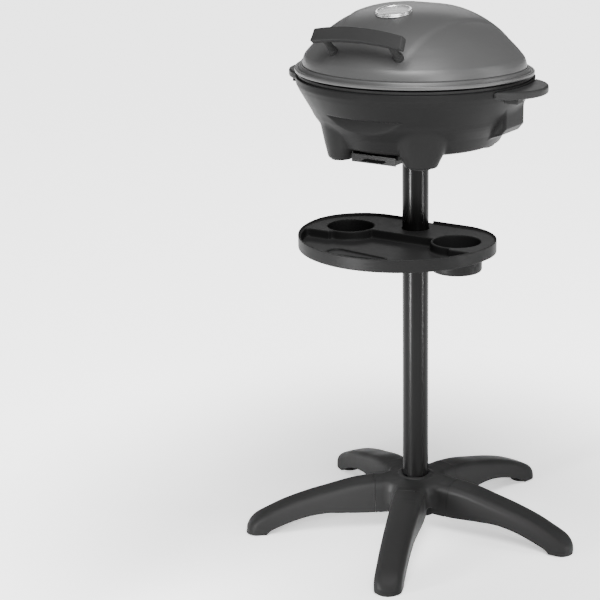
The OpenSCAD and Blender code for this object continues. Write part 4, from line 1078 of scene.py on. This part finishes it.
cast("tray_moulding", tray_field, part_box("utensil_tray"), 0.0017, tray_plastic, "stand",
     ["utensil_tray"], "tray_plastic")

# %% [markdown]
# ## The star base
# A leg is an outline seen from the side, cut by its own plan, with large rounded upper
# edges. All five are the same moulding, so the field is meshed once and the mesh is turned
# to each place. The hub takes the post and closes against each leg.

# %% Leg
LEG_SEAM = 0.084
LEG_REACH = 0.314
LEG_TOE_R = 0.0265
LEG_ROOT_HALF = 0.03
LEG_LENGTH = LEG_REACH + LEG_TOE_R - LEG_SEAM
LEG_HEIGHT = 0.1015
LEG_TOP = [(0, 1), (0.16, 0.955), (0.34, 0.85), (0.51, 0.745), (0.68, 0.61), (0.8, 0.48),
           (0.89, 0.365), (0.95, 0.245), (0.985, 0.13)]
LEG_ARCH = [(0.82, 0.15), (0.785, 0.3), (0.66, 0.62), (0.53, 0.87), (0.39, 1), (0.27, 0.98),
            (0.08, 0.92), (0, 0.913)]
LEG_ARCH_TOP = 0.0405
LEG_CROWN = 0.0035
LEG_ROUND = 0.013
LEG_WALL = 0.004
LEG_SOLE = 0.0015
LEG_TURN = 20.8
LEG_COUNT = 5
INSIDE_HUB = LEG_SEAM - 0.04
TONGUE_REACH = 0.024
TONGUE_HALF = 0.015
TONGUE_Z = (0.055, 0.085)
NO_PLAY = (0, 0, 0)
SOCKET_PLAY = (0.0004, 0.0002, 0.0003)


def leg_curve(points, height):
    """The outline's shares as real places, joined by a smooth line."""
    places = [(LEG_SEAM + u * LEG_LENGTH, z * height) for u, z in points]
    return smooth_loop(places, 4, closed=False)


leg_top = leg_curve(LEG_TOP, LEG_HEIGHT)
leg_arch = leg_curve(LEG_ARCH, LEG_ARCH_TOP)
leg_top = [(INSIDE_HUB, LEG_HEIGHT)] + leg_top
leg_arch = leg_arch + [(INSIDE_HUB, leg_arch[-1][1])]
leg_side = leg_top + [(LEG_SEAM + LEG_LENGTH, LEG_SOLE),
                      (LEG_SEAM + 0.835 * LEG_LENGTH, LEG_SOLE)] + leg_arch
leg_inner = leg_top + [(LEG_SEAM + LEG_LENGTH, -0.03), (INSIDE_HUB, -0.03)]


def leg_plan(u, v):
    """Distance from a leg's plan, which narrows to its round toe."""
    share = np.clip((u - LEG_SEAM) / (LEG_REACH - LEG_SEAM), 0, 1)
    half = LEG_ROOT_HALF + (LEG_TOE_R - LEG_ROOT_HALF) * share
    return np.where(u < LEG_REACH, np.abs(v) - half, np.hypot(u - LEG_REACH, v) - LEG_TOE_R)


def leg_solid(u, v, z):
    """The leg's rounded upper shape, without its arch and its seam."""
    top = outline_distance(u, z, leg_inner)
    crown = LEG_CROWN * (v / LEG_ROOT_HALF) ** 2 * np.clip(z / 0.03 - 0.5, 0, 1)
    return trim(top + crown, leg_plan(u, v), LEG_ROUND)


def tongue_field(u, v, z, play):
    """The block of a leg that plugs into the hub; play is the room along, beside and above."""
    sides = np.maximum(LEG_SEAM - TONGUE_REACH - play[0] - u, np.abs(v) - TONGUE_HALF - play[1])
    return np.maximum(sides, slab(z, TONGUE_Z[0] - play[2], TONGUE_Z[1] + play[2]))


def leg_field(u, v, z):
    """A whole leg: u runs outward from the post, v across and z up."""
    rounded = leg_solid(u, v, z)
    body = trim(rounded, outline_distance(u, z, leg_side), 0.0012)
    inner = np.maximum(rounded + LEG_WALL, u - LEG_REACH + LEG_TOE_R + 0.012)
    body = np.maximum(body, -inner)
    tongue = np.maximum(tongue_field(u, v, z, NO_PLAY), u - LEG_SEAM - 0.005)
    return np.minimum(np.maximum(body, LEG_SEAM - u), tongue)


def near_tongue(v, z):
    """Which vertices belong to the tongue or to its socket."""
    return (np.abs(v) < 0.017) & (np.abs(z - 0.07) < 0.017)


def square_up(verts, chosen, field):
    """Moves the chosen corner vertices out to the field's surface, within the seam's plane."""
    places = verts[chosen].copy()
    step = 0.0002
    for _ in range(4):
        value = field(*places.T)
        slope = np.zeros_like(places)
        for axis in (1, 2):
            probe = places.copy()
            probe[:, axis] += step
            slope[:, axis] = (field(*probe.T) - value) / step
        size = np.maximum((slope ** 2).sum(1), 0.2)
        places -= slope * (value / size)[:, None]
    close = np.abs(places - verts[chosen]).max(1) < 0.003
    result = verts[chosen]
    result[close] = places[close]
    verts[chosen] = result


def leg_angle(k):
    """Which way a leg points in the plan."""
    return radians(LEG_TURN + 360 / LEG_COUNT * k - 90)


leg_verts, leg_quads = skin_of(
    leg_field, (LEG_SEAM - 0.026, -0.031, 0.0), (LEG_REACH + LEG_TOE_R, 0.031, 0.103), 0.0021)
in_tongue = near_tongue(leg_verts[:, 1], leg_verts[:, 2])
at_seam = (np.abs(leg_verts[:, 0] - LEG_SEAM) < 0.002) & ~in_tongue
leg_verts[at_seam, 0] = LEG_SEAM + 0.0003
near_skin = at_seam & (np.abs(leg_solid(*leg_verts.T)) < 0.0018)
square_up(leg_verts, near_skin, leg_solid)
for k in range(LEG_COUNT):
    turned_leg = (Matrix.Translation((POST_X, POST_Y, 0))
                  @ Matrix.Rotation(leg_angle(k), 4, "Z"))
    spin = np.array(turned_leg)
    places = leg_verts @ spin[:3, :3].T + spin[:3, 3]
    add_piece(f"leg_moulding_{k + 1}", places, leg_quads, base_plastic, "stand",
              [f"leg_{k + 1}"], "frame_plastic", crisp=55)

# %% Hub
HUB_PROFILE = [
    (0, 0.028), (0.044, 0.028), (0.046, 0.036), (0.046, 0.052), (0.062, 0.056),
    (0.064, 0.082), (0.058, 0.0945), (0.044, 0.098), (0.0312, 0.0992), (0.0306, 0.1036),
    (0.0296, 0.104), (0, 0.104),
]
HUB_GAP = 0.0004


def arm_section(u, v, z):
    """Distance from the round-shouldered section that an arm shares with its leg."""
    crown = LEG_CROWN * (v / LEG_ROOT_HALF) ** 2
    return trim(np.abs(v) - LEG_ROOT_HALF, slab(z, -0.02, LEG_HEIGHT - crown + 0.0002),
                LEG_ROUND)


def along_leg(x, y, k):
    """A place in the plan, measured from the post outward along one leg and across it."""
    c, s = cos(leg_angle(k)), sin(leg_angle(k))
    return x * c + y * s, y * c - x * s


def hub_field(x, y, z):
    """The hub: its round body, five arms, their sockets and the bore for the post."""
    x, y = x - POST_X, y - POST_Y
    rho = np.hypot(x, y)
    body = outline_distance(rho, z, HUB_PROFILE)
    for k in range(LEG_COUNT):
        u, v = along_leg(x, y, k)
        arm = np.maximum(arm_section(u, v, z), slab(u, 0.03, LEG_SEAM - HUB_GAP))
        body = melt(body, np.maximum(arm, 0.037 - z), 0.012)
    for k in range(LEG_COUNT):
        body = np.maximum(body, -tongue_field(*along_leg(x, y, k), z, SOCKET_PLAY))
    groove = np.maximum(np.maximum(0.0445 - rho, rho - 0.06), z - 0.055)
    body = trim(body, -groove, 0.0015)
    bore = np.maximum(rho - POST_R - 0.0001, 0.04 - z)
    return np.maximum(body, -bore)


hub_verts, hub_quads = skin_of(hub_field, *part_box("base_hub"), 0.002)
for k in range(LEG_COUNT):
    ray = np.array([cos(leg_angle(k)), sin(leg_angle(k))])
    flat = hub_verts[:, :2] - (POST_X, POST_Y)
    reach, aside = along_leg(*flat.T, k)
    at_seam = (np.abs(reach - LEG_SEAM + HUB_GAP) < 0.002) & (np.abs(aside) < 0.032)
    at_seam &= ~near_tongue(aside, hub_verts[:, 2])
    hub_verts[at_seam, :2] += np.outer(LEG_SEAM - 0.0003 - reach[at_seam], ray)
    local = np.stack([reach, aside, hub_verts[:, 2]], 1)
    near_skin = at_seam & (np.abs(arm_section(*local.T)) < 0.0018)
    square_up(local, near_skin, arm_section)
    slide = local[near_skin, 1] - aside[near_skin]
    hub_verts[near_skin, :2] += np.outer(slide, [-ray[1], ray[0]])
    hub_verts[near_skin, 2] = local[near_skin, 2]
add_piece("hub_moulding", hub_verts, hub_quads, base_plastic, "stand", ["base_hub"],
          "frame_plastic", crisp=55)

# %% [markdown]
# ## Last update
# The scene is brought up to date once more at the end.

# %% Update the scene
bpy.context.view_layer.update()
